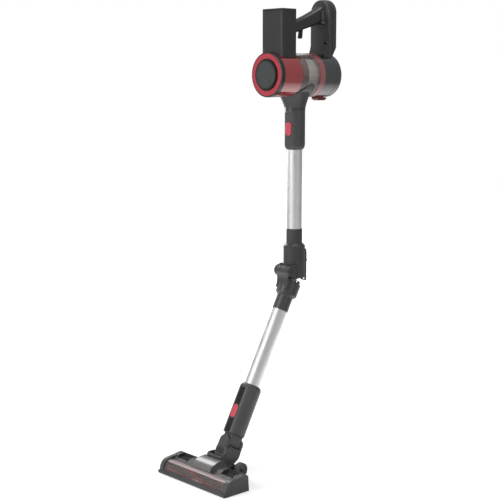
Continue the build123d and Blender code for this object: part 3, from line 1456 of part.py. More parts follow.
# Tail frame: arms that hold the neck hinge and the rear wheels, joined by a floor plate.
ARM_IN = 29.5
ARM_OUT = 36.0
with BuildPart() as tail_frame:
    for side in (-1, 1):
        with BuildSketch(side_plane(side * ARM_IN)):
            Polygon(
                (DECK_BACK, 2), (88, 2), (95, 11), (94, 23), (86, 28.5), (71, 35.8), (53, 35.8),
                (DECK_BACK, 32), align=None,
            )
            with Locations((PITCH.Y, PITCH.Z)):
                Circle(13)
            with Locations((PITCH.Y, PITCH.Z)):
                Circle(4, mode=Mode.SUBTRACT)
            with Locations((WHEEL_Y, WHEEL_R)):
                Circle(2.5, mode=Mode.SUBTRACT)
        extrude(amount=side * (ARM_OUT - ARM_IN))
    with BuildSketch(Plane.XY.offset(2)):
        with Locations((0, (DECK_BACK + 92) / 2)):
            RectangleRounded(2 * ARM_OUT - 2, 92 - DECK_BACK, 3)
    extrude(amount=5)
    with BuildSketch(side_plane(-ARM_IN)):
        with Locations((PITCH.Y, PITCH.Z)):
            Circle(PITCH_R + 0.8)
    extrude(amount=2 * ARM_IN, mode=Mode.SUBTRACT)
save(tail_frame, "tail_frame")

with BuildPart() as tail_pins:
    for side in (-1, 1):
        with BuildSketch(side_plane(side * 22.5)):
            with Locations((PITCH.Y, PITCH.Z)):
                Circle(4)
        extrude(amount=side * (ARM_OUT - 22.5))
        with BuildSketch(side_plane(side * ARM_OUT)):
            with Locations((PITCH.Y, PITCH.Z)):
                Circle(5.5)
                Rectangle(7, 1.4, mode=Mode.SUBTRACT)
        extrude(amount=side * 1.6)
        with BuildSketch(side_plane(side * ARM_IN)):
            with Locations((WHEEL_Y, WHEEL_R)):
                Circle(2.5)
        extrude(amount=side * 20)
        with BuildSketch(side_plane(side * (ARM_IN + 20))):
            with Locations((WHEEL_Y, WHEEL_R)):
                Circle(4)
        extrude(amount=side * 1.4)
save(tail_pins, "tail_pins")


def wheel(side, name):
    """Dished rear wheel on one side: rim, web and hub bore."""
    inner = ARM_OUT + 0.6
    with BuildPart() as piece:
        with BuildSketch(side_plane(side * inner)):
            with Locations((WHEEL_Y, WHEEL_R)):
                Circle(WHEEL_R)
        extrude(amount=side * 12)
        rims = piece.edges().filter_by(GeomType.CIRCLE)
        fillet(rims, 1.2)
        with BuildSketch(side_plane(side * (inner + 9))):
            with Locations((WHEEL_Y, WHEEL_R)):
                Circle(14)
                Circle(5, mode=Mode.SUBTRACT)
        extrude(amount=side * 5, mode=Mode.SUBTRACT)
        with BuildSketch(side_plane(side * (inner - 1))):
            with Locations((WHEEL_Y, WHEEL_R)):
                Circle(2.5 + FIT)
        extrude(amount=side * 14, mode=Mode.SUBTRACT)
    save(piece, name)


wheel(1, "wheel_right")
wheel(-1, "wheel_left")

# ================================================================ floor head: brush and drive
BRUSH_HALF = 103.0
CORE_R = 7.0
SHAFT_END = 111.0
PULLEY_X = 106.5
PULLEY_WIDTH = 4.0
BRUSH_PULLEY_R = 7.0
MOTOR_PULLEY_R = 4.0
DRIVE_Y = 18.0
DRIVE_Z = 17.0
with BuildPart() as brush_core:
    with BuildSketch(side_plane(-BRUSH_HALF)):
        with Locations((BRUSH_Y, BRUSH_Z)):
            Circle(CORE_R)
    extrude(amount=2 * BRUSH_HALF)
    with BuildSketch(side_plane(-MOUTH_HALF - 2)):
        with Locations((BRUSH_Y, BRUSH_Z)):
            Circle(2)
    extrude(amount=MOUTH_HALF + 2 + SHAFT_END)
    with BuildSketch(side_plane(PULLEY_X)):
        with Locations((BRUSH_Y, BRUSH_Z)):
            Circle(BRUSH_PULLEY_R)
    extrude(amount=PULLEY_WIDTH)
save(brush_core, "brush_core")

# Bristle strips: two helical fins round the core.
STRIP_STEPS = 14
STRIP_TURN = 300.0
with BuildPart() as brush_bristles:
    for start in (0, 180):
        for step in range(STRIP_STEPS + 1):
            x = -BRUSH_HALF + 2 * BRUSH_HALF * step / STRIP_STEPS
            with BuildSketch(side_plane(x)):
                with Locations((BRUSH_Y, BRUSH_Z)):
                    with PolarLocations((CORE_R + BRUSH_R) / 2, 1, start + STRIP_TURN * step / STRIP_STEPS):
                        Rectangle(BRUSH_R - CORE_R + 1, 4.5)
        loft(ruled=True)
    with BuildSketch(side_plane(-BRUSH_HALF)):
        with Locations((BRUSH_Y, BRUSH_Z)):
            Circle(BRUSH_R)
    extrude(amount=2 * BRUSH_HALF, mode=Mode.INTERSECT)
    with BuildSketch(side_plane(-BRUSH_HALF)):
        with Locations((BRUSH_Y, BRUSH_Z)):
            Circle(CORE_R)
    extrude(amount=2 * BRUSH_HALF, mode=Mode.SUBTRACT)
save(brush_bristles, "brush_bristles")

with BuildPart() as brush_bearings:
    for side in (-1, 1):
        with BuildSketch(side_plane(side * MOUTH_HALF)):
            with Locations((BRUSH_Y, BRUSH_Z)):
                Circle(5)
                Circle(2 + FIT, mode=Mode.SUBTRACT)
        extrude(amount=side * 2)
save(brush_bearings, "brush_bearings")

with BuildPart() as brush_motor:
    with BuildSketch(side_plane(44)):
        with Locations((DRIVE_Y, DRIVE_Z)):
            Circle(11)
    extrude(amount=50)
    with BuildSketch(side_plane(94)):
        with Locations((DRIVE_Y, DRIVE_Z)):
            Circle(4)
    extrude(amount=3)
    with BuildSketch(side_plane(80)):
        with Locations((DRIVE_Y, DRIVE_Z)):
            Circle(1.2 + FIT)
    extrude(amount=20, mode=Mode.SUBTRACT)
save(brush_motor, "brush_motor")

with BuildPart() as drive_pulley:
    with BuildSketch(side_plane(81)):
        with Locations((DRIVE_Y, DRIVE_Z)):
            Circle(1.2)
    extrude(amount=SHAFT_END - 81)
    with BuildSketch(side_plane(PULLEY_X)):
        with Locations((DRIVE_Y, DRIVE_Z)):
            Circle(MOTOR_PULLEY_R)
    extrude(amount=PULLEY_WIDTH)
save(drive_pulley, "drive_pulley")


def belt_loop(thick):
    """Outline round both pulleys, thick millimetres outside them."""
    with BuildSketch() as face:
        with Locations((BRUSH_Y, BRUSH_Z)):
            Circle(BRUSH_PULLEY_R + thick)
        with Locations((DRIVE_Y, DRIVE_Z)):
            Circle(MOTOR_PULLEY_R + thick)
        make_hull()
    return face.sketch


with BuildPart() as drive_belt:
    with BuildSketch(side_plane(PULLEY_X)):
        add(belt_loop(1.5))
        add(belt_loop(0.3), mode=Mode.SUBTRACT)
    extrude(amount=PULLEY_WIDTH)
save(drive_belt, "drive_belt")
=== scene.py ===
"""Dresses the cordless stick vacuum: finishes for every part, finer pieces, studio and camera.

Everything is in metres in the frame of the solid model: +Z up, the floor head points to -Y and
the origin is the middle of the head's sole, on the floor.
"""

import json
import logging
import math
from dataclasses import dataclass
from enum import Enum
from typing import Callable, ClassVar, Iterable, Optional, Sequence

import bpy
from mathutils import Matrix, Vector


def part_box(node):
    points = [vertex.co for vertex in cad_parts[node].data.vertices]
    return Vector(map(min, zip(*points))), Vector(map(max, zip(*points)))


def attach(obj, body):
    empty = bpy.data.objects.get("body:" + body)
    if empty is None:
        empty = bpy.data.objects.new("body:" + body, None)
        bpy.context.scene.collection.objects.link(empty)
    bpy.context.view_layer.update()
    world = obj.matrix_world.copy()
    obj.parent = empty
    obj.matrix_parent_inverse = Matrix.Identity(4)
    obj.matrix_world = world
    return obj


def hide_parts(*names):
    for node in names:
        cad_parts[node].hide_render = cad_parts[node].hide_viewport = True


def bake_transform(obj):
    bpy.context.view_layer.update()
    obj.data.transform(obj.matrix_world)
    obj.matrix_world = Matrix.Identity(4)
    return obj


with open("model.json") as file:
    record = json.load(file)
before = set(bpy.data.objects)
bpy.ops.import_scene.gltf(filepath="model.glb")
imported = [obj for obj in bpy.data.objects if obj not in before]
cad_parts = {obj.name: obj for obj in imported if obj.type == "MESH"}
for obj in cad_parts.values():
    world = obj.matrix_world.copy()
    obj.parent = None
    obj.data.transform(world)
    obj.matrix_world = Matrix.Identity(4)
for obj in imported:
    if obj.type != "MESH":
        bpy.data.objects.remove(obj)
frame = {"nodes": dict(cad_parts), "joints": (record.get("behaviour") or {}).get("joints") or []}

log = logging.getLogger("vacuum")
Colour = tuple[float, float, float]
Point = tuple[float, float, float]
Piece = bpy.types.Object
Socket = bpy.types.NodeSocket
WAND_LEAN = math.radians(28.6)
LEAN = Matrix.Rotation(-WAND_LEAN, 4, "X")


class Way(Enum):
    """Directions that parts of the vacuum point in."""

    RIGHT = Vector((1.0, 0.0, 0.0))
    BACK = Vector((0.0, 1.0, 0.0))
    UP = Vector((0.0, 0.0, 1.0))
    WAND_UP = Vector((0.0, 0.478692, 0.877983))
    WAND_REAR = Vector((0.0, 0.877983, -0.478692))


# ------------------------------------------------------------------------------- finishes
class Mix:
    """A material's node tree, with short ways to add what the finishes share."""

    def __init__(self, name: str) -> None:
        """Starts a material that holds one Principled shader.

        Args:
            name: The material's name.
        """
        self.material = bpy.data.materials.new(name)
        self.material.use_nodes = True
        self.tree = self.material.node_tree
        self.shader = self.tree.nodes["Principled BSDF"]
        self.output = self.tree.nodes["Material Output"]
        self.place = self.add("ShaderNodeTexCoord").outputs["Object"]

    def add(self, kind: str, **values: object) -> bpy.types.Node:
        """Adds a node.

        Args:
            kind: The node's type name.
            values: Attributes of the node to set.

        Returns:
            The new node.
        """
        node = self.tree.nodes.new(kind)
        for key, value in values.items():
            setattr(node, key, value)
        return node

    def link(self, source: Socket, target: Socket) -> None:
        """Joins an output to an input."""
        self.tree.links.new(source, target)

    def feed(self, socket: str, source: Socket) -> None:
        """Drives one of the shader's own sockets."""
        self.link(source, self.shader.inputs[socket])

    def joined(self, kind: str, *sources: Socket, **values: object) -> Socket:
        """Adds a node with its inputs fed in turn, and returns its first output."""
        node = self.add(kind, **values)
        for source, socket in zip(sources, node.inputs):
            self.link(source, socket)
        return node.outputs[0]

    def reach(self) -> Socket:
        """The distance from the object's origin."""
        length = self.add("ShaderNodeVectorMath", operation="LENGTH")
        self.link(self.place, length.inputs[0])
        return length.outputs["Value"]

    def set(self, **values: object) -> None:
        """Sets the shader's own sockets, with underscores for spaces in their names."""
        for key, value in values.items():
            self.shader.inputs[key.replace("_", " ")].default_value = value

    def along(self, scale: Point, turn: Point = (0.0, 0.0, 0.0)) -> Socket:
        """Object coordinates turned and stretched by a Mapping node.

        Args:
            scale: Factor on each axis.
            turn: Rotation in radians.

        Returns:
            The mapped coordinates.
        """
        mapping = self.add("ShaderNodeMapping")
        mapping.inputs["Scale"].default_value = scale
        mapping.inputs["Rotation"].default_value = turn
        self.link(self.place, mapping.inputs["Vector"])
        return mapping.outputs["Vector"]

    def noise(
        self, scale: float, detail: float = 3.0, place: Optional[Socket] = None
    ) -> Socket:
        """Noise over the surface.

        Args:
            scale: Features per metre.
            detail: Octaves.
            place: Coordinates, or None for the object's own.

        Returns:
            The noise from 0 to 1.
        """
        node = self.add("ShaderNodeTexNoise")
        node.inputs["Scale"].default_value = scale
        node.inputs["Detail"].default_value = detail
        self.link(place or self.place, node.inputs["Vector"])
        return node.outputs["Fac"]

    def span(
        self, source: Socket, low: float, high: float,
        start: float = 0.3, end: float = 0.7,
    ) -> Socket:
        """Maps a value's middle range to new limits.

        Args:
            source: The value.
            low: Result at and below start.
            high: Result at and above end.
            start: Lower end of the source's range.
            end: Upper end of the source's range.

        Returns:
            The mapped value.
        """
        node = self.add("ShaderNodeMapRange", clamp=True)
        node.inputs["From Min"].default_value = start
        node.inputs["From Max"].default_value = end
        node.inputs["To Min"].default_value = low
        node.inputs["To Max"].default_value = high
        self.link(source, node.inputs["Value"])
        return node.outputs["Result"]

    def shades(
        self, factor: Socket, first: Colour, second: Colour
    ) -> Socket:
        """Blends two colours.

        Args:
            factor: Where the second colour shows.
            first: Colour at 0.
            second: Colour at 1.

        Returns:
            The blended colour.
        """
        node = self.add("ShaderNodeMix", data_type="RGBA")
        node.inputs[6].default_value = (*first, 1.0)
        node.inputs[7].default_value = (*second, 1.0)
        self.link(factor, node.inputs[0])
        return node.outputs[2]

    def tint(self, factor: Socket, colour: Colour, low: float, high: float) -> None:
        """Colours the surface between a darker and a paler shade of one colour."""
        self.feed("Base Color", self.shades(factor, lighter(colour, low), lighter(colour, high)))

    def relief(
        self, height: Socket, depth: float, strength: float = 1.0,
        edge: float = 0.0,
    ) -> None:
        """Gives the shader a bump, over edges that a small bevel softens.

        Args:
            height: Height from 0 to 1.
            depth: Depth of the relief in metres.
            strength: Strength of the bump.
            edge: Radius in metres of the softened edges, or 0 for none.
        """
        bump = self.add("ShaderNodeBump")
        bump.inputs["Distance"].default_value = depth
        bump.inputs["Strength"].default_value = strength
        self.link(height, bump.inputs["Height"])
        if edge:
            bevel = self.add("ShaderNodeBevel", samples=4)
            bevel.inputs["Radius"].default_value = edge
            self.link(bevel.outputs["Normal"], bump.inputs["Normal"])
        self.link(bump.outputs["Normal"], self.shader.inputs["Normal"])


def lighter(colour: Colour, by: float) -> Colour:
    """A colour moved by a factor, kept within 1."""
    return tuple(min(1.0, c * by) for c in colour)


@dataclass(frozen=True)
class Surface:
    """What a finish is made of. Each kind adds its own nodes."""

    name: str

    def make(self) -> bpy.types.Material:
        """Builds the material.

        Returns:
            The material.
        """
        mix = Mix(self.name)
        self.paint(mix)
        return mix.material

    def paint(self, mix: Mix) -> None:
        """Adds the nodes of this kind of surface."""
        raise NotImplementedError


@dataclass(frozen=True)
class MouldedPlastic(Surface):
    """Injection-moulded plastic: fine grain, faint flow shading and rubbed patches."""

    colour: Colour
    roughness: float = 0.42
    grain: float = 2600.0
    depth: float = 0.00003
    mottle: float = 0.12
    coat: float = 0.0
    coat_roughness: float = 0.1
    edge: float = 0.0004
    ior: float = 1.45
    coat_ior: float = 1.5

    def paint(self, mix: Mix) -> None:
        """Adds its nodes."""
        broad = mix.span(mix.noise(14.0, 2.0), 0.0, 1.0)
        mix.tint(broad, self.colour, 1.0 - self.mottle, 1.0 + self.mottle)
        rubbed = mix.span(mix.noise(55.0, 5.0), self.roughness * 0.86, self.roughness * 1.12)
        mix.feed("Roughness", rubbed)
        mix.set(
            IOR=self.ior, Coat_Weight=self.coat, Coat_Roughness=self.coat_roughness,
            Coat_IOR=self.coat_ior,
        )
        mix.relief(mix.noise(self.grain, 2.0), self.depth, 0.5, self.edge)


@dataclass(frozen=True)
class ClearPlastic(Surface):
    """Transparent moulding with a tint, faint scuffs and light shadows."""

    tint: Colour
    roughness: float = 0.04
    body: float = 0.0
    shadow: float = 0.75

    def paint(self, mix: Mix) -> None:
        """Adds its nodes."""
        mix.set(Transmission_Weight=1.0 - self.body, IOR=1.46)
        swirl = mix.span(mix.noise(22.0, 3.0), 0.0, 1.0)
        mix.tint(swirl, self.tint, 0.96, 1.04)
        scuff = mix.span(mix.noise(240.0, 6.0), self.roughness, self.roughness * 3.0, 0.55, 0.8)
        mix.feed("Roughness", scuff)
        mix.relief(mix.noise(90.0, 1.0), 0.00002, 0.25)
        clear = mix.add("ShaderNodeBsdfTransparent")
        clear.inputs["Color"].default_value = (*[self.shadow * c ** 0.5 for c in self.tint], 1.0)
        ray = mix.add("ShaderNodeLightPath").outputs["Is Shadow Ray"]
        blend = mix.joined("ShaderNodeMixShader", ray, mix.shader.outputs[0], clear.outputs[0])
        mix.link(blend, mix.output.inputs["Surface"])


@dataclass(frozen=True)
class DrawnMetal(Surface):
    """Metal with a fine grain along one direction, as on a drawn or turned part."""

    colour: Colour
    roughness: float = 0.3
    stretch: Point = (900.0, 900.0, 12.0)
    turn: Point = (0.0, 0.0, 0.0)
    depth: float = 0.000008
    anisotropy: float = 0.25
    edge: float = 0.0003

    def paint(self, mix: Mix) -> None:
        """Adds its nodes."""
        mix.set(Metallic=1.0, Anisotropic=self.anisotropy)
        lines = mix.noise(1.0, 4.0, mix.along(self.stretch, self.turn))
        mix.tint(mix.span(lines, 0.0, 1.0), self.colour, 0.94, 1.05)
        worn = mix.span(mix.noise(30.0, 4.0), self.roughness * 0.85, self.roughness * 1.2)
        mix.feed("Roughness", worn)
        mix.relief(lines, self.depth, 0.4, self.edge)


@dataclass(frozen=True)
class Rubber(Surface):
    """Dull rubber with a pitted skin and dusty patches."""

    colour: Colour
    roughness: float = 0.72

    def paint(self, mix: Mix) -> None:
        """Adds its nodes."""
        dust = mix.span(mix.noise(40.0, 6.0), 0.0, 1.0, 0.35, 0.8)
        mix.tint(dust, self.colour, 1.0, 1.6)
        pitted = mix.span(mix.noise(300.0), self.roughness - 0.1, self.roughness + 0.12)
        mix.feed("Roughness", pitted)
        mix.relief(mix.noise(1500.0, 4.0), 0.00006, 0.6, 0.0004)


@dataclass(frozen=True)
class Striped(Surface):
    """A finish of narrow bands, as on windings, pleats and sleeves."""

    first: Colour
    second: Colour
    bands: float = 900.0
    roughness: float = 0.5
    metallic: float = 0.0
    axis: str = "Z"
    depth: float = 0.0001

    def paint(self, mix: Mix) -> None:
        """Adds its nodes."""
        wave = mix.add("ShaderNodeTexWave", bands_direction=self.axis)
        wave.inputs["Scale"].default_value = self.bands
        wave.inputs["Distortion"].default_value = 1.2
        wave.inputs["Detail Scale"].default_value = 3.0
        mix.link(mix.place, wave.inputs["Vector"])
        mix.feed("Base Color", mix.shades(wave.outputs["Fac"], self.first, self.second))
        worn = mix.span(mix.noise(120.0), self.roughness - 0.08, self.roughness + 0.1)
        mix.feed("Roughness", worn)
        mix.set(Metallic=self.metallic)
        mix.relief(wave.outputs["Fac"], self.depth, 0.6)


@dataclass(frozen=True)
class Board(Surface):
    """Green solder mask over copper tracks, with tinned pads."""

    def paint(self, mix: Mix) -> None:
        """Adds its nodes."""
        cells = mix.add("ShaderNodeTexVoronoi", distance="CHEBYCHEV")
        cells.inputs["Scale"].default_value = 420.0
        mix.link(mix.along((1.0, 0.02, 1.0)), cells.inputs["Vector"])
        tracks = mix.span(cells.outputs["Distance"], 1.0, 0.0, 0.28, 0.34)
        mix.feed("Base Color", mix.shades(tracks, (0.012, 0.10, 0.035), (0.05, 0.22, 0.07)))
        mix.feed("Roughness", mix.span(mix.noise(200.0), 0.25, 0.4))
        mix.relief(tracks, 0.00004, 0.6)


@dataclass(frozen=True)
class Gauze(Surface):
    """A fine woven mesh: threads both ways over dark gaps."""

    gap: Colour
    thread: Colour
    pitch: float = 0.0009

    def paint(self, mix: Mix) -> None:
        """Adds its nodes."""
        waves = []
        for axis in ("X", "Z"):
            wave = mix.add("ShaderNodeTexWave", bands_direction=axis)
            wave.inputs["Scale"].default_value = 0.314 / self.pitch
            wave.inputs["Distortion"].default_value = 0.15
            mix.link(mix.place, wave.inputs["Vector"])
            waves.append(wave.outputs["Fac"])
        weave = mix.joined("ShaderNodeMath", *waves, operation="MAXIMUM")
        threads = mix.span(weave, 0.0, 1.0, 0.45, 0.8)
        mix.feed("Base Color", mix.shades(threads, self.gap, self.thread))
        mix.feed("Roughness", mix.span(mix.noise(60.0), 0.5, 0.65))
        mix.relief(threads, 0.0002, 0.5)


@dataclass(frozen=True)
class Nylon(Surface):
    """Bristle nylon: warm colour in streaks along the strands, its darker streaks painted shade
    for the gaps between them.
    """

    colour: Colour

    def paint(self, mix: Mix) -> None:
        """Adds its nodes."""
        strands_and_gap_shade = mix.noise(1.0, 4.0, mix.along((2400.0, 700.0, 700.0)))
        # Darker streaks are painted shade in the gaps between strands; paler ones are the nylon's
        # own tone.
        mix.tint(mix.span(strands_and_gap_shade, 0.0, 1.0, 0.35, 0.65), self.colour, 0.45, 1.35)
        mix.feed("Roughness", mix.span(mix.noise(500.0), 0.35, 0.6))
        mix.set(Sheen_Weight=0.25, Sheen_Roughness=0.4)
        mix.relief(strands_and_gap_shade, 0.0003, 0.7)


class Finish(Enum):
    """The vacuum's finishes."""

    DARK = MouldedPlastic(
        "dark moulded plastic", (0.058, 0.058, 0.059), 0.38, coat=0.25, coat_roughness=0.18
    )
    DARK_SMOOTH = MouldedPlastic(
        "smooth dark plastic", (0.030, 0.030, 0.031), 0.3, 900.0, 0.00001, 0.08, 0.2, 0.15
    )
    SHELL = MouldedPlastic("grey shell plastic", (0.090, 0.090, 0.091), 0.36)
    SLEEVE = MouldedPlastic("grey sleeve plastic", (0.090, 0.088, 0.088), 0.38)
    COLUMN = MouldedPlastic(
        "soft-cornered dark plastic", (0.041, 0.041, 0.042), 0.42, edge=0.005
    )
    # Near-black strip that makes the neck sleeve's flat front darker than its round.
    STRIP = MouldedPlastic("near-black sleeve strip", (0.012, 0.014, 0.014), 0.3, 900.0, 0.00001, 0.08)
    # Near-black: painted shade, for the groove round the front grille and for the deck pockets.
    GROOVE_SHADE = Rubber("painted groove and pocket shade", (0.010, 0.007, 0.007))
    DECK = MouldedPlastic("dark deck plastic", (0.062, 0.062, 0.061), 0.42, 2200.0, 0.00002, 0.08)
    GRIP = MouldedPlastic(
        "smooth grip", (0.026, 0.026, 0.027), 0.3, 1800.0, 0.00003, 0.08, 0.6, 0.12
    )
    CASING = MouldedPlastic(
        "glossy dark casing", (0.016, 0.019, 0.019), 0.2, 700.0, 0.00001, 0.06, 1.0, 0.05,
        ior=1.6, coat_ior=1.8,
    )
    SILVER = MouldedPlastic(
        "silver lacquer", (0.17, 0.17, 0.172), 0.34, 3200.0, 0.00001, 0.05, 0.8, 0.24
    )
    RED = MouldedPlastic(
        "deep red gloss", (0.42, 0.010, 0.016), 0.22, 600.0, 0.00001, 0.05, 1.0, 0.05,
        ior=1.6, coat_ior=1.85,
    )
    RED_TRIM = MouldedPlastic(
        "red trim", (0.50, 0.050, 0.068), 0.38, 1500.0, 0.00002, 0.06, 0.2, 0.2
    )
    RED_BUTTON = MouldedPlastic(
        "bright red button", (0.72, 0.090, 0.125), 0.3, 1500.0, 0.00002, 0.05, 0.4, 0.12
    )
    RED_RING = MouldedPlastic(
        "rose red ring", (0.40, 0.105, 0.120), 0.24, 800.0, 0.00001, 0.05, 0.8, 0.06, coat_ior=1.8
    )
    # Dark red: the latch's own colour, and painted shade where it rims the push buttons.
    RED_DARK = MouldedPlastic(
        "dark red moulding and painted button shade", (0.19, 0.016, 0.024), 0.34, 1500.0, 0.00002, 0.06, 0.2, 0.2
    )
    SHROUD = MouldedPlastic("pale grey shroud", (0.50, 0.49, 0.47), 0.4, 1200.0, 0.00002, 0.06)
    COLLAR = MouldedPlastic(
        "smoked brown band", (0.088, 0.014, 0.014), 0.5, 700.0, 0.00001, 0.06
    )
    CLEAR = ClearPlastic("clear bin plastic", (0.82, 0.805, 0.785), 0.05, 0.05)
    SMOKE = ClearPlastic("smoked window", (0.62, 0.55, 0.54), 0.05, 0.08)
    # Pale rose: the rail's own tint, lightened as a painted highlight for the bright band along
    # the top of the window.
    RAIL = MouldedPlastic(
        "pale rose rail with painted highlight", (0.36, 0.27, 0.27), 0.44, 700.0, 0.00001, 0.05, 0.15, 0.3
    )
    TUBE = DrawnMetal("satin tube", (0.87, 0.87, 0.88), 0.50)
    TUBE_LEANING = DrawnMetal(
        "satin tube, leaning", (0.80, 0.80, 0.81), 0.48, turn=(WAND_LEAN, 0.0, 0.0)
    )
    STEEL = DrawnMetal(
        "turned steel", (0.30, 0.30, 0.31), 0.3, (30.0, 1400.0, 1400.0), depth=0.00001
    )
    BLACKED = DrawnMetal(
        "blackened steel", (0.07, 0.07, 0.072), 0.36, (30.0, 1400.0, 1400.0), depth=0.00001
    )
    MESH = DrawnMetal(
        "perforated steel", (0.62, 0.61, 0.60), 0.5, (500.0, 500.0, 500.0), depth=0.000006
    )
    BELLOWS = MouldedPlastic(
        "silver bellows", (0.42, 0.42, 0.43), 0.3, 900.0, 0.00001, 0.05, 0.3, 0.15
    )
    RUBBER = Rubber("black rubber", (0.016, 0.016, 0.016))
    TYRE = Rubber("tyre rubber", (0.115, 0.115, 0.116), 0.55)
    FILTER = Striped("filter paper", (0.62, 0.61, 0.56), (0.78, 0.77, 0.73), 260.0, 0.85)
    COPPER = Striped(
        "wound copper", (0.30, 0.12, 0.05), (0.62, 0.30, 0.13), 700.0, 0.35, 0.9, "Y"
    )
    CELL = Striped("cell sleeve", (0.05, 0.16, 0.26), (0.07, 0.20, 0.31), 60.0, 0.3)
    GAUZE = Gauze("fine grille gauze", (0.016, 0.020, 0.020), (0.060, 0.068, 0.067))
    BOARD = Board("circuit board")
    BRISTLE = Nylon("red bristles", (0.66, 0.045, 0.065))

    def material(self) -> bpy.types.Material:
        """The finish's one shared material, made when first asked for.

        Returns:
            The material.
        """
        found = bpy.data.materials.get(self.value.name)
        return found or self.value.make()


def dress(node: str, finish: Finish) -> None:
    """Gives a node of the solid model a finish.

    Args:
        node: The node's name.
        finish: Its finish.
    """
    part = frame["nodes"][node]
    if not part.data.materials:
        part.data.materials.append(finish.material())
    for place in part.material_slots:
        place.material = finish.material()
    log.info("dressed %s in %s", node, finish.value.name)


# ------------------------------------------------------------------------------ modelling
def joint_place(name: str) -> Vector:
    """Where a joint's axis passes, at rest.

    Args:
        name: The joint's name.

    Returns:
        The point, in metres.
    """
    joint = next(j for j in frame["joints"] if j["name"] == name)
    return Vector(joint["pos_m"])


def pointed(along: Vector, place: Vector) -> Matrix:
    """A placement that turns +Z to a direction.

    Args:
        along: The direction.
        place: Where the origin goes.

    Returns:
        The matrix.
    """
    turn = Way.UP.value.rotation_difference(along).to_matrix().to_4x4()
    return Matrix.Translation(place) @ turn


def on_wand(rear: float, up: float, across: float = 0.0) -> Vector:
    """A point of the leaning wand, measured from its swivel.

    Args:
        rear: Metres behind the swivel.
        up: Metres up the wand from the swivel.
        across: Metres to the right.

    Returns:
        The point.
    """
    middle = joint_place("neck_swivel")
    return (
        middle + Way.WAND_REAR.value * rear + Way.WAND_UP.value * up + Way.RIGHT.value * across
    )


def leaning(rear: float, up: float, across: float = 0.0) -> Matrix:
    """A placement on the leaning wand, turned with it, from the same measures as on_wand."""
    return Matrix.Translation(on_wand(rear, up, across)) @ LEAN


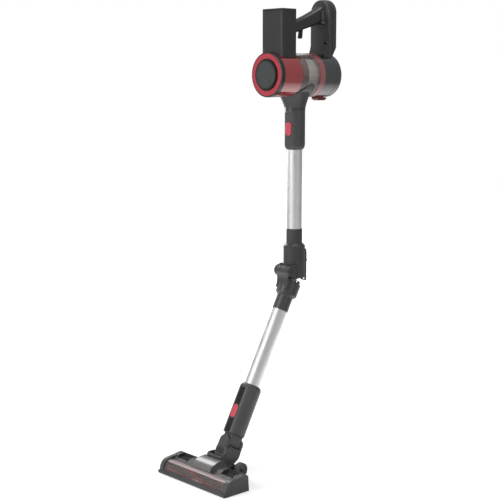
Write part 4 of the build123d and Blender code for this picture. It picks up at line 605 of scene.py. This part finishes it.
class Bench:
    """Modelling steps that the new pieces share."""

    @staticmethod
    def mode(name: str) -> None:
        """Opens or closes the active piece for editing."""
        bpy.ops.object.mode_set(mode=name)

    @staticmethod
    def face_out() -> None:
        """Selects all of the open piece and turns its faces outwards."""
        bpy.ops.mesh.select_all(action="SELECT")
        bpy.ops.mesh.normals_make_consistent(inside=False)

    @staticmethod
    def clear() -> None:
        """Leaves nothing selected and no object open."""
        if bpy.context.object and bpy.context.object.mode != "OBJECT":
            Bench.mode("OBJECT")
        bpy.ops.object.select_all(action="DESELECT")

    @staticmethod
    def hold(*pieces: Piece) -> None:
        """Selects only these pieces, with the first of them active."""
        Bench.clear()
        for piece in pieces:
            piece.select_set(True)
        bpy.context.view_layer.objects.active = pieces[0]

    @staticmethod
    def pick(piece: Piece, test: Callable[[Vector, Vector], bool]) -> None:
        """Opens a piece with only the faces selected that pass a test.

        Args:
            piece: The piece.
            test: Takes a face's middle and normal.
        """
        if piece.mode != "OBJECT":
            Bench.mode("OBJECT")
        for group in (piece.data.vertices, piece.data.edges):
            group.foreach_set("select", [False] * len(group))
        for face in piece.data.polygons:
            face.select = test(face.center, face.normal)
        Bench.mode("EDIT")
        bpy.ops.mesh.select_mode(type="FACE")

    @staticmethod
    def turned(rings: Sequence[tuple[float, float]], sides: int = 48) -> Piece:
        """Extrudes a disc ring by ring, as on a lathe.

        Args:
            rings: Radius and height of each ring, from the first disc up.
            sides: Facets round.

        Returns:
            The closed piece, standing on +Z.
        """
        Bench.clear()
        radius, height = rings[0]
        bpy.ops.mesh.primitive_circle_add(
            vertices=sides, radius=radius, fill_type="NGON", location=(0.0, 0.0, height)
        )
        piece = bpy.context.object
        bpy.ops.object.transform_apply(location=True)
        Bench.mode("EDIT")
        bpy.ops.mesh.select_all(action="SELECT")
        for wide, high in rings[1:]:
            bpy.ops.mesh.extrude_region_move(
                TRANSFORM_OT_translate={"value": (0.0, 0.0, high - height)}
            )
            size = wide / radius
            bpy.ops.transform.resize(value=(size, size, 1.0), center_override=(0.0, 0.0, high))
            radius, height = wide, high
        Bench.face_out()
        Bench.mode("OBJECT")
        return piece

    @staticmethod
    def block(size: Point, middle: Point = (0.0, 0.0, 0.0)) -> Piece:
        """Starts a piece from a box.

        Args:
            size: Its lengths along X, Y and Z.
            middle: Where its middle is.

        Returns:
            The box, with its size in its mesh.
        """
        Bench.clear()
        bpy.ops.mesh.primitive_cube_add(size=1.0, location=middle, scale=size)
        bpy.ops.object.transform_apply(location=True, scale=True)
        return bpy.context.object

    @staticmethod
    def pin(radius: float, length: float, middle: Point = (0.0, 0.0, 0.0)) -> Piece:
        """Starts a round cutter that lies along Y.

        Args:
            radius: Its radius.
            length: Its length.
            middle: Where its middle is.

        Returns:
            The cylinder, with its place in its mesh.
        """
        Bench.clear()
        bpy.ops.mesh.primitive_cylinder_add(
            vertices=72, radius=radius, depth=length, location=middle,
            rotation=(math.pi / 2.0, 0.0, 0.0),
        )
        bpy.ops.object.transform_apply(location=True, rotation=True)
        return bpy.context.object

    @staticmethod
    def carve(piece: Piece, cutter: Piece) -> None:
        """Cuts one piece out of another.

        Args:
            piece: The piece that stays.
            cutter: The piece that is cut out of it, and goes away.
        """
        cut = piece.modifiers.new("cut", "BOOLEAN")
        cut.operation, cut.object = "DIFFERENCE", cutter
        Bench.apply(piece)
        bpy.data.objects.remove(cutter)

    @staticmethod
    def soften(piece: Piece, radius: float, steps: int = 2) -> None:
        """Rounds a piece's edges.

        Args:
            piece: The piece.
            radius: Radius in metres.
            steps: Facets across the rounding.
        """
        bevel = piece.modifiers.new("soft edges", "BEVEL")
        bevel.width, bevel.segments, bevel.limit_method = radius, steps, "ANGLE"
        Bench.apply(piece)

    @staticmethod
    def bridge_halves(piece: Piece) -> None:
        """Joins the open ends of a ring's two halves with straight sides."""
        Bench.hold(piece)
        for sign in (-1.0, 1.0):
            Bench.mode("EDIT")
            bpy.ops.mesh.select_mode(type="EDGE")
            bpy.ops.mesh.select_all(action="DESELECT")
            bpy.ops.mesh.select_non_manifold()
            Bench.mode("OBJECT")
            chosen: set[int] = set()
            for edge in piece.data.edges:
                ends = [piece.data.vertices[v].co.x * sign for v in edge.vertices]
                edge.select = edge.select and min(ends) > 0.0
                chosen.update(edge.vertices if edge.select else ())
            for vertex in piece.data.vertices:
                vertex.select = vertex.index in chosen
            for face in piece.data.polygons:
                face.select = False
            Bench.mode("EDIT")
            bpy.ops.mesh.bridge_edge_loops()
            Bench.mode("OBJECT")
        Bench.mode("EDIT")
        Bench.face_out()
        Bench.mode("OBJECT")

    @staticmethod
    def apply(piece: Piece) -> None:
        """Applies a piece's modifiers."""
        Bench.hold(piece)
        for modifier in list(piece.modifiers):
            bpy.ops.object.modifier_apply(modifier=modifier.name)

    @staticmethod
    def repeat(piece: Piece, places: Iterable[Matrix]) -> Piece:
        """Copies a piece to each place and joins the copies.

        Args:
            piece: The piece, which goes away.
            places: Where the copies stand.

        Returns:
            The joined copies.
        """
        copies = []
        for place in places:
            twin = bpy.data.objects.new(piece.name, piece.data.copy())
            twin.data.transform(place)
            bpy.context.scene.collection.objects.link(twin)
            copies.append(twin)
        bpy.data.objects.remove(piece)
        Bench.hold(*copies)
        bpy.ops.object.join()
        return bpy.context.object

    @staticmethod
    def deliver(
        piece: Piece, name: str, finish: Finish, body: Optional[str],
        place: Optional[Matrix] = None, smooth: float = 35.0,
    ) -> Piece:
        """Places, smooths, dresses and names a piece, and has it ride on a body.

        Args:
            piece: The piece.
            name: Its name.
            finish: Its finish.
            body: The body that it rides on, or None where it bends between two.
            place: Its placement, or None where it is in place already.
            smooth: Angle in degrees up to which its faces shade smoothly.

        Returns:
            The finished piece.
        """
        Bench.hold(piece)
        if place:
            piece.matrix_world = place
            bpy.ops.object.transform_apply(location=True, rotation=True, scale=True)
        bpy.ops.object.shade_smooth_by_angle(angle=math.radians(smooth))
        piece.name = piece.data.name = name
        piece.data.materials.clear()
        piece.data.materials.append(finish.material())
        if body:
            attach(piece, body)
        log.info("modelled %s with %d faces", name, len(piece.data.polygons))
        return piece


# --------------------------------------------------------------------------- sub-assemblies
class Assembly:
    """A group of the vacuum's parts: their finishes, and the finer pieces added to them."""

    finishes: ClassVar[dict[str, Finish]]

    def dress(self) -> None:
        """Finishes the assembly's nodes."""
        for node, finish in self.finishes.items():
            dress(node, finish)

    def build(self) -> None:
        """Models the assembly's finer pieces."""
        raise NotImplementedError


@dataclass
class HandUnit(Assembly):
    """Barrel with motor, clear bin and rear housing, its front cap and its rear lid."""

    finishes: ClassVar[dict[str, Finish]] = {
        "motor_housing": Finish.RED,
        "bin_shell": Finish.CLEAR,
        "bin_collar": Finish.COLLAR,
        "bin_ring": Finish.RED_RING,
        "rear_housing": Finish.CASING,
        "cyclone_cone": Finish.SHROUD,
        "mesh_filter": Finish.MESH,
        "motor_can": Finish.DARK,
        "motor_stator": Finish.COPPER,
        "motor_bearings": Finish.STEEL,
        "motor_rotor": Finish.STEEL,
        "impeller": Finish.DARK_SMOOTH,
        "filter_cap": Finish.DARK_SMOOTH,
        "cap_ring": Finish.RED_TRIM,
        # The grille ring in near-black is painted shade for the groove round the gauze.
        "cap_grille": Finish.GROOVE_SHADE,
        "exhaust_filter": Finish.FILTER,
        "rear_lid": Finish.CASING,
        "lid_seal": Finish.RUBBER,
        "bin_latch": Finish.RED_DARK,
        "inlet_funnel": Finish.DARK,
    }

    barrel_z: float = 0.996
    gauze_radius: float = 0.0334

    def build(self) -> None:
        """Models the finer pieces of the barrel."""
        self.gauze()
        self.latch_ribs()

    def gauze(self) -> None:
        """The fine gauze over the front grille, in a thin rim."""
        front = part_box("cap_grille")[0][1]
        r = self.gauze_radius
        piece = Bench.turned(
            ((r, -0.0002), (r, 0.0003), (r - 0.0004, 0.0005), (r - 0.0012, 0.0005),
             (r - 0.0015, 0.0002), (r * 0.5, 0.0003)), 72,
        )
        place = pointed(-Way.BACK.value, Vector((0.0, front, self.barrel_z)))
        Bench.deliver(piece, "grille_gauze", Finish.GAUZE, "filter_cap", place)

    def latch_ribs(self) -> None:
        """Finger ribs across the bin's latch."""
        low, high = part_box("bin_latch")
        rib = Bench.block((0.015, 0.0016, 0.0012))
        Bench.soften(rib, 0.0005)
        reach = high[1] - low[1]
        places = [
            Matrix.Translation((0.0, low[1] + reach * (0.22 + 0.14 * n), low[2] + 0.0004))
            for n in range(5)
        ]
        Bench.deliver(Bench.repeat(rib, places), "latch_ribs", Finish.RED_DARK, "bin_latch")


class Handle(Assembly):
    """Battery column, handle bar, trigger and tower."""

    finishes: ClassVar[dict[str, Finish]] = {
        "battery_sleeve": Finish.COLUMN,
        "battery_case": Finish.COLUMN,
        "battery_cells": Finish.CELL,
        "battery_latch": Finish.DARK_SMOOTH,
        "grip_bar": Finish.GRIP,
        "tower_front": Finish.DARK,
        "tower_back": Finish.DARK,
        "control_board": Finish.BOARD,
        "charge_jack": Finish.DARK_SMOOTH,
        "trigger": Finish.DARK_SMOOTH,
        "trigger_switch": Finish.DARK_SMOOTH,
        "hinge_pins": Finish.BLACKED,
    }

    def build(self) -> None:
        """Models the finer pieces of the handle."""
        self.jack_rim()

    def jack_rim(self) -> None:
        """The thin raised rim round the charging jack."""
        low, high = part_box("charge_jack")
        radius = (high[0] - low[0]) / 2.0
        rim = Bench.turned(
            ((radius - 0.0012, -0.0002), (radius - 0.0012, 0.0004), (radius - 0.0006, 0.0007),
             (radius + 0.0002, 0.0007), (radius + 0.0007, 0.0003), (radius + 0.0007, -0.0002)), 40,
        )
        seat = Vector(((low[0] + high[0]) / 2.0, low[1], (low[2] + high[2]) / 2.0))
        place = pointed(-Way.BACK.value, seat)
        Bench.deliver(rim, "jack_rim", Finish.DARK_SMOOTH, "hand_unit", place)


@dataclass
class Wand(Assembly):
    """Straight tube, flex joint and leaning tube with its neck sleeve."""

    finishes: ClassVar[dict[str, Finish]] = {
        "wand_socket": Finish.SLEEVE,
        "wand_button": Finish.RED_BUTTON,
        "upper_tube": Finish.TUBE,
        "flex_housing": Finish.DARK,
        "flex_pin": Finish.BLACKED,
        "flex_lever": Finish.DARK,
        "flex_hose": Finish.BELLOWS,
        "flex_knuckle": Finish.DARK,
        "lower_tube": Finish.TUBE_LEANING,
        "neck_sleeve": Finish.SLEEVE,
        "head_button": Finish.RED_BUTTON,
        "swivel_yoke": Finish.SLEEVE,
        "swivel_pins": Finish.BLACKED,
    }

    hose_radius: float = 0.0138
    ridge_radius: float = 0.0160
    ridge_pitch: float = 0.0044
    hose_leg: float = 0.0624
    hose_corner: float = 0.0155
    hose_blend: float = 0.0210
    ear_front: float = -0.024
    rib: Point = (0.0026, 0.0026, 0.0138)
    rib_up: float = -0.0246
    rib_front: float = -0.0241
    rib_pitch: float = 0.0056
    saddle_top: float = -0.0098
    saddle_rear: float = 0.0019
    saddle_floor: float = 0.0010
    saddle_size: tuple[float, float] = (0.0390, 0.0380)
    swivel_radius: float = 0.0163
    dark_strip_size: Point = (0.0178, 0.0006, 0.118)
    dark_strip_up: float = 0.0830
    dark_strip_front: float = 0.0263
    rim_gap: float = 0.0007
    rim_round: float = 0.0011
    rim_proud: float = 0.0004
    button_play: float = 0.0004
    button_length: ClassVar[dict[str, float]] = {"wand_button": 0.035, "head_button": 0.034}

    def build(self) -> None:
        """Models the finer pieces of the wand."""
        self.bellows()
        self.button_shade_rims()
        self.dark_strip()
        self.ear_disc()
        self.ear_ribs()
        self.saddle()

    def button_shade_rims(self) -> None:
        """Raised rims round both push buttons, dark red as painted shade: the shadow round each
        raised button.
        """
        for node, body, away, up in (
            ("wand_button", "hand_unit", Way.BACK.value, Way.UP.value),
            ("head_button", "lower_wand", Way.WAND_REAR.value, Way.WAND_UP.value),
        ):
            low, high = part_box(node)
            half = (high[0] - low[0]) / 2.0
            middle = (Vector(low) + Vector(high)) / 2.0
            straight = self.button_length[node] / 2.0 - half
            Bench.clear()
            bpy.ops.mesh.primitive_torus_add(
                major_radius=half + self.rim_gap, minor_radius=self.rim_round,
                major_segments=40, minor_segments=10,
            )
            rim = bpy.context.object
            for sign in (-1.0, 1.0):
                Bench.pick(rim, lambda place, normal: place.y * sign > 0.0)
                bpy.ops.mesh.split()
                bpy.ops.transform.translate(value=(0.0, sign * straight, 0.0))
                Bench.mode("OBJECT")
            Bench.bridge_halves(rim)
            seat = Matrix((Way.RIGHT.value, up, Way.RIGHT.value.cross(up))).transposed()
            place = Matrix.Translation(middle + away * self.rim_proud) @ seat.to_4x4()
            # The rims' dark red is painted shade, standing for the shadow round each raised
            # button.
            Bench.deliver(rim, f"{node}_rim", Finish.RED_DARK, body, place)

    def dark_strip(self) -> None:
        """The dark strip down the flat front of the neck sleeve, open round its button."""
        # A near-black strip that makes the sleeve's flat front darker than its round.
        strip = Bench.block(self.dark_strip_size)
        Bench.soften(strip, 0.0002, 1)
        low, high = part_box("head_button")
        radius = (high[0] - low[0]) / 2.0 + self.button_play
        middle = (Vector(low) + Vector(high)) / 2.0 - joint_place("neck_swivel")
        up = middle.dot(Way.WAND_UP.value) - self.dark_strip_up
        straight = self.button_length["head_button"] / 2.0 + self.button_play - radius
        for end in (up - straight, up + straight):
            Bench.carve(strip, Bench.pin(radius, 0.01, (0.0, 0.0, end)))
        Bench.carve(strip, Bench.block((2.0 * radius, 0.01, 2.0 * straight), (0.0, 0.0, up)))
        place = leaning(-self.dark_strip_front, self.dark_strip_up)
        Bench.deliver(strip, "neck_dark_strip", Finish.STRIP, "lower_wand", place)

    def bend_place(self) -> Vector:
        """Where the axes of the two tubes cross, worked out from the flex hinge.

        Returns:
            The point, in metres.
        """
        low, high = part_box("upper_tube")
        axis_y = (low[1] + high[1]) / 2.0
        hinge = joint_place("flex_hinge")
        foot = hinge + Way.WAND_REAR.value * (axis_y - hinge.y)
        return foot + Way.WAND_UP.value * ((axis_y - foot.y) / Way.WAND_UP.value.y)

    def bellows(self) -> None:
        """The ridged hose inside the flex joint, in place of its plain solid."""
        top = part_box("flex_hose")[1][2]
        bend = self.bend_place()
        length = (top - bend.z) + self.hose_leg
        rings = [(self.hose_radius, 0.0)]
        count = int(length / self.ridge_pitch)
        for ridge in range(count):
            start = ridge * self.ridge_pitch
            rings += [
                (self.hose_radius, start + 0.0008),
                (self.ridge_radius, start + 0.0018),
                (self.ridge_radius, start + 0.0028),
                (self.hose_radius, start + 0.0038),
            ]
        piece = Bench.turned(rings, 40)
        data = bpy.data.curves.new("hose line", "CURVE")
        data.dimensions = "3D"
        line = data.splines.new("NURBS")
        line.points.add(3)
        stations = (
            Vector((0.0, bend.y, top)),
            bend + Vector((0.0, 0.0, self.hose_corner)),
            bend - Way.WAND_UP.value * self.hose_corner,
            bend - Way.WAND_UP.value * (self.hose_leg + self.ridge_pitch),
        )
        for point, station in zip(line.points, stations):
            point.co = (*station, 1.0)
        line.order_u = 3
        line.use_endpoint_u = True
        guide = bpy.data.objects.new("hose line", data)
        bpy.context.scene.collection.objects.link(guide)
        follow = piece.modifiers.new("along the hose line", "CURVE")
        follow.object, follow.deform_axis = guide, "POS_Z"
        Bench.apply(piece)
        bpy.data.objects.remove(guide)
        log.info("hose from %.4f, bent at %.4f", top, bend.z)
        piece = Bench.deliver(piece, "flex_bellows", Finish.BELLOWS, None, smooth=50.0)
        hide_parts("flex_hose")
        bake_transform(piece)

    def ear_disc(self) -> None:
        """The round cap on the front ear of the neck's swivel."""
        piece = Bench.turned(
            ((0.0158, -0.0004), (0.0158, 0.0008), (0.0150, 0.0016), (0.0132, 0.0016),
             (0.0126, 0.0009), (0.0052, 0.0009), (0.0048, 0.0014), (0.0030, 0.0014),
             (0.0026, 0.0006)), 56,
        )
        place = pointed(-Way.WAND_REAR.value, on_wand(self.ear_front, 0.0))
        Bench.deliver(piece, "neck_disc", Finish.SLEEVE, "swivel_yoke", place)

    def ear_ribs(self) -> None:
        """Upright ribs under the disc of the front ear."""
        rib = Bench.block(self.rib)
        Bench.pick(rib, lambda middle, normal: normal.y < -0.5)
        bpy.ops.transform.resize(value=(0.55, 1.0, 0.88), center_override=(0.0, -0.0013, 0.0))
        Bench.mode("OBJECT")
        Bench.soften(rib, 0.0004)
        places = [
            leaning(self.rib_front, self.rib_up, step * self.rib_pitch)
            for step in (-2.5, -1.5, -0.5, 0.5, 1.5, 2.5)
        ]
        Bench.deliver(Bench.repeat(rib, places), "neck_ribs", Finish.DARK, "swivel_yoke")

    def saddle(self) -> None:
        """The hollow seat of the neck's barrel, between the ears of the yoke."""
        radius, top, floor = self.swivel_radius, self.saddle_top, self.saddle_floor
        seat = Bench.block((*self.saddle_size, top + radius + floor))
        middle = (top - radius - floor) / 2.0
        seat.data.transform(Matrix.Translation((0.0, 0.0, middle)))
        Bench.carve(seat, Bench.pin(radius, 0.060))
        place = leaning(self.saddle_rear, 0.0)
        Bench.deliver(seat, "neck_saddle", Finish.DARK, "swivel_yoke", place)


@dataclass
class FloorHead(Assembly):
    """Powered floor head with its brush, drive, window and wheels."""

    finishes: ClassVar[dict[str, Finish]] = {
        "head_cheeks": Finish.SHELL,
        "head_base": Finish.SHELL,
        "head_cover": Finish.DECK,
        "head_window": Finish.SMOKE,
        "head_rail": Finish.RAIL,
        "tail_frame": Finish.DARK,
        "tail_pins": Finish.BLACKED,
        "brush_bearings": Finish.STEEL,
        "brush_motor": Finish.STEEL,
        "drive_belt": Finish.RUBBER,
        "brush_core": Finish.DARK_SMOOTH,
        "brush_bristles": Finish.BRISTLE,
        "drive_pulley": Finish.STEEL,
        "wheel_left": Finish.TYRE,
        "wheel_right": Finish.TYRE,
    }

    core_radius: float = 0.0068
    tip_radius: float = 0.0131
    brush_half: float = 0.101
    turn_degrees: float = 300.0
    tufts_in_row: int = 130
    tuft_radii: tuple[float, float] = (0.00042, 0.0007)
    row_turn: float = 11.0
    hump_centre: tuple[float, float] = (0.032, 0.031)
    hump_reach: tuple[float, float] = (0.040, 0.021)
    panel_wide: float = 0.0664
    panel_thick: float = 0.0007
    panel_proud: float = 0.0002
    panel_turn: float = 86.0
    panel_flare: float = 0.085
    tray: Point = (0.0335, 0.0256, 0.0008)
    tray_place: Point = (0.0889, 0.0158, 0.0337)

    def build(self) -> None:
        """Models the finer pieces of the floor head."""
        self.hump_panel()
        self.pocket_shade_trays()
        self.tufts()

    def hump_panel(self) -> None:
        """The silver panel that lies over the hump of the cover."""
        (middle_y, middle_z), (reach_y, reach_z) = self.hump_centre, self.hump_reach
        centre = (0.0, middle_y, middle_z + reach_z + self.panel_proud)
        Bench.clear()
        bpy.ops.mesh.primitive_plane_add(
            size=1.0, location=centre, rotation=(math.pi / 2.0, 0.0, 0.0)
        )
        panel = bpy.context.object
        bpy.ops.object.transform_apply(location=True, rotation=True)
        Bench.mode("EDIT")
        bpy.ops.mesh.select_all(action="SELECT")
        bpy.ops.transform.resize(
            value=(self.panel_wide, 1.0, self.panel_thick), center_override=centre
        )
        bpy.ops.mesh.spin(
            steps=22, angle=math.radians(-self.panel_turn), center=(0.0, middle_y, middle_z),
            axis=(1.0, 0.0, 0.0),
        )
        Bench.face_out()
        bpy.ops.transform.resize(
            value=(1.0, reach_y / reach_z, 1.0), center_override=(0.0, middle_y, middle_z)
        )
        Bench.mode("OBJECT")
        for vertex in panel.data.vertices:
            drop = (middle_z + reach_z - vertex.co.z) / reach_z
            vertex.co.x *= 1.0 + self.panel_flare * drop
        Bench.soften(panel, 0.00025, 1)
        Bench.deliver(panel, "hump_panel", Finish.SILVER, "floor_head")

    def pocket_shade_trays(self) -> None:
        """Near-black trays on the floors of the two deck pockets, clear of the end slots: painted
        shade in the recesses.
        """
        tray = Bench.block(self.tray)
        Bench.pick(tray, lambda place, normal: normal.z > 0.5)
        bpy.ops.mesh.inset(thickness=0.0014, depth=-0.0003)
        Bench.mode("OBJECT")
        Bench.soften(tray, 0.0001, 1)
        across, back, up = self.tray_place
        places = [Matrix.Translation((side * across, back, up)) for side in (-1.0, 1.0)]
        # The trays' near-black is painted shade for the pockets' recesses.
        Bench.deliver(Bench.repeat(tray, places), "pocket_shade_trays", Finish.GROOVE_SHADE, "floor_head")

    def tufts(self) -> None:
        """Bristle tufts in three rows along each helix, in place of the plain fins."""
        middle = joint_place("brush_spin")
        tall = self.tip_radius - self.core_radius
        Bench.clear()
        root_radius, tip_radius = self.tuft_radii
        bpy.ops.mesh.primitive_cone_add(
            vertices=5, radius1=root_radius, radius2=tip_radius, depth=tall,
            location=(0.0, 0.0, tall / 2.0),
        )
        tuft = bpy.context.object
        bpy.ops.object.transform_apply(location=True)
        Bench.pick(tuft, lambda place, normal: normal.z > 0.5)
        bpy.ops.mesh.inset(thickness=0.00022, depth=0.0005)
        Bench.mode("OBJECT")
        places = []
        for start in (0.0, 180.0):
            for row in (-1.0, 0.0, 1.0):
                for step in range(self.tufts_in_row):
                    part = (step + 0.5 + row / 3.0) / self.tufts_in_row
                    angle = math.radians(start + self.turn_degrees * part + row * self.row_turn)
                    out = Vector((0.0, math.cos(angle), math.sin(angle)))
                    root = middle + out * self.core_radius
                    root.x = self.brush_half * (2.0 * part - 1.0)
                    places.append(pointed(out, root))
        piece = Bench.deliver(
            Bench.repeat(tuft, places), "brush_tufts", Finish.BRISTLE, "brush_roll"
        )
        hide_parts("brush_bristles")


# ----------------------------------------------------------------------------------- studio
@dataclass(frozen=True)
class SoftBox:
    """A large soft lamp."""

    name: str
    place: Point
    target: Point
    size: float
    power: float

    def hang(self) -> None:
        """Adds the lamp to the scene."""
        data = bpy.data.lights.new(self.name, "AREA")
        data.shape = "SQUARE"
        data.size = self.size
        data.energy = self.power
        lamp = bpy.data.objects.new(self.name, data)
        bpy.context.scene.collection.objects.link(lamp)
        lamp.location = self.place
        aim = Vector(self.target) - Vector(self.place)
        lamp.rotation_euler = aim.to_track_quat("-Z", "Y").to_euler()
        lamp.visible_camera = False


@dataclass
class Studio:
    """Pale floor, white surroundings, soft lamps and the camera."""

    eye: Point = (2.0575, -1.7419, 0.970)
    azimuth: float = 47.28
    pitch: float = 8.27
    lens: float = 81.5
    ambient: float = 0.30
    gloss: float = 0.32
    # Peak brightness of the painted reflection that the floor shows to glossy rays.
    gleam: float = 1.42
    boxes: Sequence[SoftBox] = (
        SoftBox("key", (-0.5, -2.9, 1.8), (0.0, 0.2, 0.75), 2.0, 54.0),
        SoftBox("fill", (2.8, 0.6, 1.6), (0.0, 0.3, 0.7), 1.6, 7.0),
        SoftBox("top", (0.2, 0.3, 3.2), (0.0, 0.2, 0.6), 1.4, 16.0),
        SoftBox("glint", (-0.86, 0.33, 0.90), (0.02, 0.03, 0.05), 0.40, 3.4),
    )

    def light(self) -> None:
        """Sets the surroundings, white to the lens and through glass, and hangs the lamps."""
        world = bpy.data.worlds.new("studio")
        bpy.context.scene.world = world
        world.use_nodes = True
        tree = world.node_tree
        sky = tree.nodes["Background"]
        sky.inputs["Color"].default_value = (1.0, 1.0, 1.0, 1.0)
        ray = tree.nodes.new("ShaderNodeLightPath")
        level: Optional[Socket] = None
        for kind, strength in (
            ("Is Glossy Ray", self.gloss), ("Is Camera Ray", 1.0), ("Is Transmission Ray", 1.0)
        ):
            choice = tree.nodes.new("ShaderNodeMix")
            choice.inputs[2].default_value = self.ambient
            choice.inputs[3].default_value = strength
            tree.links.new(ray.outputs[kind], choice.inputs[0])
            if level:
                tree.links.new(level, choice.inputs[2])
            level = choice.outputs[0]
        tree.links.new(level, sky.inputs["Strength"])
        for box in self.boxes:
            box.hang()

    def painted_floor_reflection(self, mix: Mix) -> Socket:
        """The floor's glow to glossy rays, a painted reflection: a bright ring round the vacuum
        that fades outwards, with painted shade right under it.

        Args:
            mix: The floor's material.

        Returns:
            The brightness.
        """
        reach = mix.reach()
        # Painted reflection: full out to 1.1 m, fading to the gloss level by 2.2 m; painted shade,
        # a quarter strength within 0.15 m, under the vacuum.
        far = mix.span(reach, self.gleam, self.gloss, 1.1, 2.2)
        painted_shade_below = mix.span(reach, 0.25, 1.0, 0.15, 0.45)
        return mix.joined("ShaderNodeMath", far, painted_shade_below, operation="MULTIPLY")

    def lay_floor(self) -> None:
        """Lays the pale floor, white to the lens except where the vacuum shades it, and showing
        glossy rays a painted reflection.
        """
        bpy.ops.object.select_all(action="DESELECT")
        bpy.ops.mesh.primitive_plane_add(size=14.0, location=(0.0, 0.0, -0.0006))
        floor = bpy.context.object
        floor.name = "floor"
        bpy.ops.object.transform_apply(location=True)
        mix = Mix("pale floor")
        mix.feed("Base Color", mix.shades(mix.noise(3.0), (0.86, 0.86, 0.86), (0.9, 0.9, 0.9)))
        mix.set(Roughness=0.6)
        ray = mix.add("ShaderNodeLightPath")
        shade = mix.span(mix.reach(), 0.5, 1.0, 0.6, 2.4)
        level = mix.joined(
            "ShaderNodeMath", ray.outputs["Is Camera Ray"], shade, operation="MULTIPLY"
        )
        lift, painted_reflection = (mix.add("ShaderNodeEmission") for _ in range(2))
        mix.link(level, lift.inputs["Strength"])
        mix.link(self.painted_floor_reflection(mix), painted_reflection.inputs["Strength"])
        both = mix.joined("ShaderNodeAddShader", mix.shader.outputs[0], lift.outputs[0])
        # Glossy rays see only the painted reflection, not the lit floor.
        gloss = mix.joined(
            "ShaderNodeMixShader", ray.outputs["Is Glossy Ray"], both, painted_reflection.outputs[0]
        )
        mix.link(gloss, mix.output.inputs["Surface"])
        floor.data.materials.append(mix.material)

    def set_camera(self) -> None:
        """Places the camera."""
        data = bpy.data.cameras.new("camera")
        data.lens = self.lens
        data.sensor_width = 36.0
        camera = bpy.data.objects.new("camera", data)
        bpy.context.scene.collection.objects.link(camera)
        turn, down = math.radians(self.azimuth), math.radians(self.pitch)
        aim = Vector(
            (-math.sin(turn) * math.cos(down), math.cos(turn) * math.cos(down), -math.sin(down))
        )
        camera.location = self.eye
        camera.rotation_euler = aim.to_track_quat("-Z", "Y").to_euler()
        bpy.context.scene.camera = camera


def main() -> None:
    """Builds and dresses the vacuum in its studio, with the camera."""
    logging.basicConfig(level=logging.INFO, format="%(name)s: %(message)s")
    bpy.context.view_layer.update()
    bpy.context.scene.view_settings.view_transform = "Standard"
    studio = Studio()
    studio.set_camera()
    studio.light()
    studio.lay_floor()
    for assembly in (HandUnit(), Handle(), Wand(), FloorHead()):
        assembly.dress()
        assembly.build()


if __name__ == "__main__":
    main()
